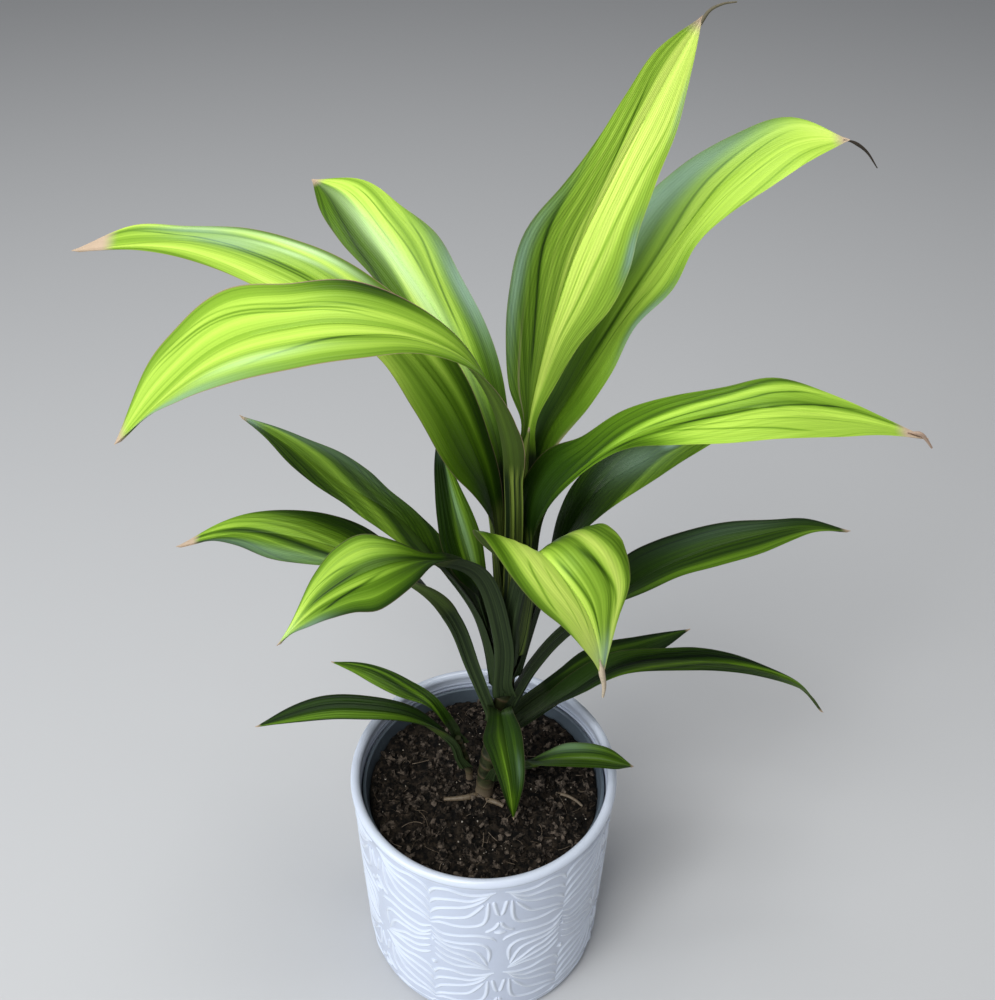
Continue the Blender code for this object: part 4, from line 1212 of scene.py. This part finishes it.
def makeStems(tree):
    bark = barkMaterial(barkLook)
    for name, stem in stems.items():
        source = lineSource(name + "Line", smoothCurve(np.array(stem["points"]) * mm, 80))
        values = {key: stem[key] for key in ("foot", "top", "pitch", "rise")}
        piece = growPiece(name + "Stem", source, tree, {**values, "finish": bark})
        seat(piece, "bark", *stem.get("nodes", ()))


scarredStem = stemTree()
makeStems(scarredStem)
print("stems grown")


# dried ends of leaves, rolled to a thin thread
tipWisps = {
    "wispTop": dict(points=((71, 49, 470), (74.5, 50, 477), (79, 50, 479.8), (84, 50, 480.6)),
                    foot=0.9 * mm, top=0.25 * mm, color=(0.16, 0.14, 0.09)),
    "wispUpperRight": dict(points=((135.5, 67.7, 427), (140, 68, 425.9), (145.6, 68, 422.3),
                                   (151, 68, 416)),
                           foot=0.9 * mm, top=0.2 * mm, color=(0.05, 0.04, 0.03)),
    "wispRight": dict(points=((151, -26, 356.6), (155.5, -26, 356), (158.4, -26, 353.5),
                              (161.2, -26, 350)),
                      foot=1.1 * mm, top=0.35 * mm, color=(0.50, 0.36, 0.27)),
    "wispFront": dict(points=((45.2, -56, 269), (46.4, -57.8, 263), (47.6, -58.5, 257),
                              (47.6, -58.5, 250.5)),
                      foot=1.7 * mm, top=0.5 * mm, color=(0.62, 0.52, 0.38)),
}


def makeWisps(tree, wisps):
    for name, wisp in wisps.items():
        material, shaderTree, shader = newMaterial(name + "Dry", 0.6, 0.2)
        grain = noise(shaderTree, objectPlace(shaderTree), 900.0, 2.0)
        dark = tuple(0.6 * part for part in wisp["color"])
        feed(shaderTree, shader.inputs["Base Color"],
             mixColor(shaderTree, grain, dark, wisp["color"]))
        source = lineSource(name + "Line", smoothCurve(np.array(wisp["points"]) * mm, 24))
        piece = growPiece(name, source, tree,
                          {"foot": wisp["foot"], "top": wisp["top"], "sides": 10, "rise": 0.0,
                           "start": 0.2, "finish": material})
        seat(piece, "leaf_bright")


makeWisps(scarredStem, tipWisps)
print("tips dried")


# soil

soilLook = dict(top=112.5 * mm, radius=58.0 * mm, footRadius=44.6 * mm, foot=6.9 * mm,
                mound=2.0 * mm, rings=90, sides=280)
fullTurn = 6.28
soilLayers = dict(
    crumb=dict(sizes=(0.5 * mm, 1.4 * mm), stretch=(1.0, 0.8, 0.6), tumble=fullTurn, dented=True),
    chunk=dict(sizes=(0.9 * mm, 2.6 * mm), stretch=(1.5, 0.8, 0.5), tumble=fullTurn, dented=True),
    speck=dict(sizes=(0.25 * mm, 0.6 * mm), stretch=(1.0, 0.8, 0.7), tumble=fullTurn, dented=True),
    fibre=dict(sizes=(2.0 * mm, 6.5 * mm), stretch=(1.0, 0.6, 0.7), tumble=0.5, dented=False),
)


def soilDisc(soil):
    bm = bmesh.new()
    middle = bm.verts.new((0, 0, soil["top"] + soil["mound"]))
    rings = []
    for ring in range(1, soil["rings"] + 1):
        share = ring / soil["rings"]
        height = soil["top"] + soil["mound"] * (1 - share ** 2)
        rings.append((soil["radius"] * share, height))
    rings += [(soil["radius"] - 0.2 * mm, soil["top"] - 4 * mm),
              (soil["footRadius"], soil["foot"])]
    loops = [[bm.verts.new((radius * cos(2 * pi * i / soil["sides"]),
                            radius * sin(2 * pi * i / soil["sides"]), height))
              for i in range(soil["sides"])] for radius, height in rings]
    for i in range(soil["sides"]):
        j = (i + 1) % soil["sides"]
        bm.faces.new((middle, loops[0][i], loops[0][j]))
        for inner, outer in zip(loops, loops[1:]):
            bm.faces.new((inner[i], outer[i], outer[j], inner[j]))
    bm.faces.new(loops[-1])
    bmesh.ops.recalc_face_normals(bm, faces=bm.faces)
    return addPiece("soilDisc", meshOf(bm, "soilDisc"))


def earthMaterial(name, dark, light, scale):
    material, tree, shader = newMaterial(name, 0.95, 0.25)
    grain = noise(tree, objectPlace(tree), scale, 5.0, 0.65)
    color = mixColor(tree, smoothStep(tree, grain, 0.40, 0.68), dark, light)
    dress(tree, shader, **{"Base Color": color, "Normal": bump(tree, grain, 0.8, 0.8 * mm)})
    return material


def randomVector(tree, low, high, seed):
    node = addNode(tree, "FunctionNodeRandomValue", {"Seed": seed}, data_type="FLOAT_VECTOR")
    feed(tree, node.inputs[0], low)
    feed(tree, node.inputs[1], high)
    return node.outputs[0]


def seedPlus(tree, seed, number):
    return result(tree, "FunctionNodeIntegerMath", {0: seed, 1: number})


def scatterLayer(tree, ground, shape, finish, density, seed, layer):
    low, high = layer["sizes"]
    points = result(tree, "GeometryNodeDistributePointsOnFaces",
                    {"Mesh": ground, "Density": density, "Seed": seed})
    turn = randomVector(tree, (0, 0, 0), (layer["tumble"], layer["tumble"], fullTurn), seed)
    size = randomVector(tree, tuple(low * s for s in layer["stretch"]),
                        tuple(high * s for s in layer["stretch"]), seedPlus(tree, seed, 5))
    placed = result(tree, "GeometryNodeInstanceOnPoints",
                    {"Points": points, "Instance": shape, "Rotation": turn, "Scale": size})
    whole = result(tree, "GeometryNodeRealizeInstances", {"Geometry": placed})
    dents = high if layer["dented"] else 0.0
    rough = calc(tree, "MULTIPLY_ADD", noise(tree, position(tree), 700.0, 1.0), 2 * dents, -dents)
    whole = moved(tree, whole, Offset=vectorCalc(tree, "SCALE", surfaceNormal(tree), rough))
    return result(tree, "GeometryNodeSetMaterial", {"Geometry": whole, "Material": finish})


def soilTree():
    tree, start, end = newTree(
        "crumbledSoil", "GeometryNodeTree",
        {"Disc": ("Geometry", None), "lumpHeight": ("Float", 0.007),
         "crumbHeight": ("Float", 0.0035), "top": ("Float", 0.1125), "radius": ("Float", 0.058),
         "crumbPerArea": ("Float", 110000.0), "chunkPerArea": ("Float", 42000.0),
         "speckPerArea": ("Float", 7000.0), "fibrePerArea": ("Float", 7500.0),
         "seed": ("Int", 4), "earth": ("Material", None), "crumb": ("Material", None),
         "chunk": ("Material", None), "speck": ("Material", None), "fibre": ("Material", None)},
        {"Shape": ("Geometry", None)})
    place = position(tree)
    x, y, z = splitXyz(tree, place)
    isTop = smoothStep(tree, z, minus(tree, start["top"], 1.0 * mm),
                       minus(tree, start["top"], 0.2 * mm))
    lumps, crumbs = [minus(tree, noise(tree, place, scale, 2.0), 0.5) for scale in (95.0, 420.0)]
    rise = plus(tree, times(tree, lumps, start["lumpHeight"]),
                times(tree, crumbs, start["crumbHeight"]))
    ground = moved(tree, start["Disc"], Offset=joinXyz(tree, 0.0, 0.0, times(tree, rise, isTop)))
    ground = result(tree, "GeometryNodeSetMaterial",
                    {"Geometry": smoothShaded(tree, ground), "Material": start["earth"]})
    fromMiddle = vectorCalc(tree, "LENGTH", joinXyz(tree, x, y, 0.0))
    inside = calc(tree, "LESS_THAN", fromMiddle, minus(tree, start["radius"], 1.5 * mm))
    openTop = times(tree, inside,
                    calc(tree, "GREATER_THAN", z, minus(tree, start["top"], 3.0 * mm)))
    lump, block = [result(tree, "GeometryNodeMeshIcoSphere",
                          {"Radius": 1.0, "Subdivisions": level}) for level in (1, 2)]
    bow = result(tree, "GeometryNodeCurveQuadraticBezier",
                 {"Resolution": 6, "Start": (-1.0, 0.0, -0.1), "Middle": (0.2, 0.9, 0.25),
                  "End": (1.0, -0.2, 0.0)})
    hair = result(tree, "GeometryNodeCurvePrimitiveCircle", {"Resolution": 5, "Radius": 0.035})
    shapes = {"crumb": lump, "chunk": block, "speck": lump, "fibre": swept(tree, bow, hair)}
    layers = [ground]
    for step, (label, layer) in enumerate(soilLayers.items()):
        density = times(tree, start[label + "PerArea"], openTop)
        layers.append(scatterLayer(tree, ground, shapes[label], start[label], density,
                                   seedPlus(tree, start["seed"], 3 * step), layer))
    finishTree(tree, end, joined(tree, *layers), ())
    return tree


def makeSoil(soil):
    finishes = {
        "earth": earthMaterial("peatGround", (0.001, 0.0008, 0.0006), (0.03, 0.022, 0.015), 300.0),
        "crumb": earthMaterial("peatCrumb", (0.002, 0.0015, 0.001), (0.075, 0.056, 0.04), 200.0),
        "chunk": earthMaterial("peatChunk", (0.004, 0.003, 0.002), (0.17, 0.135, 0.105), 210.0),
        "speck": earthMaterial("perlite", (0.35, 0.30, 0.24), (0.75, 0.70, 0.62), 500.0),
        "fibre": earthMaterial("rootFibre", (0.10, 0.075, 0.05), (0.34, 0.27, 0.2), 90.0)}
    piece = growPiece("peatSoil", soilDisc(soil), soilTree(),
                      {"top": soil["top"], "radius": soil["radius"], **finishes})
    seat(piece, "earth", "soil")


makeSoil(soilLook)
print("soil crumbled")


# studio

bpy.context.scene.view_settings.view_transform = "Standard"  # the studio's plain colours
world = bpy.data.worlds.new("studio")
bpy.context.scene.world = world
world.use_nodes = True
world.node_tree.nodes["Background"].inputs[0].default_value = (0.93, 0.95, 1.0, 1)
world.node_tree.nodes["Background"].inputs[1].default_value = 0.18

studioLights = dict(
    key=dict(place=(-0.6, -1.0, 1.8), aim=(0, 0, 0.28), size=0.9, power=22, color=(1, 0.99, 0.97)),
    left=dict(place=(-1.3, -1.0, 0.7), aim=(0, 0, 0.25), size=0.9, power=14,
              color=(0.92, 0.96, 1)),
    top=dict(place=(0, 0.1, 2.1), aim=(0, 0, 0.3), size=0.9, power=18, color=(1, 1, 1)),
)


def makeLights(lights):
    for name, look in lights.items():
        data = bpy.data.lights.new(name, "AREA")
        data.size = look["size"]
        data.energy = look["power"]
        data.color = look["color"]
        light = bpy.data.objects.new(name, data)
        bpy.context.collection.objects.link(light)
        light.location = look["place"]
        aim = Vector(look["aim"]) - Vector(look["place"])
        light.rotation_mode = "QUATERNION"
        light.rotation_quaternion = aim.to_track_quat("-Z", "Y")


def makeFloor():
    mesh = bpy.data.meshes.new("floor")
    mesh.from_pydata([(-4, -4, 0), (4, -4, 0), (4, 4, 0), (-4, 4, 0)], [], [(0, 1, 2, 3)])
    floor = addPiece("floor", mesh)
    material, tree, shader = newMaterial("paleFloor", 0.6)
    shader.inputs["Base Color"].default_value = (0.56, 0.57, 0.58, 1)
    mesh.materials.append(material)


makeLights(studioLights)
makeFloor()
print("studio lit")
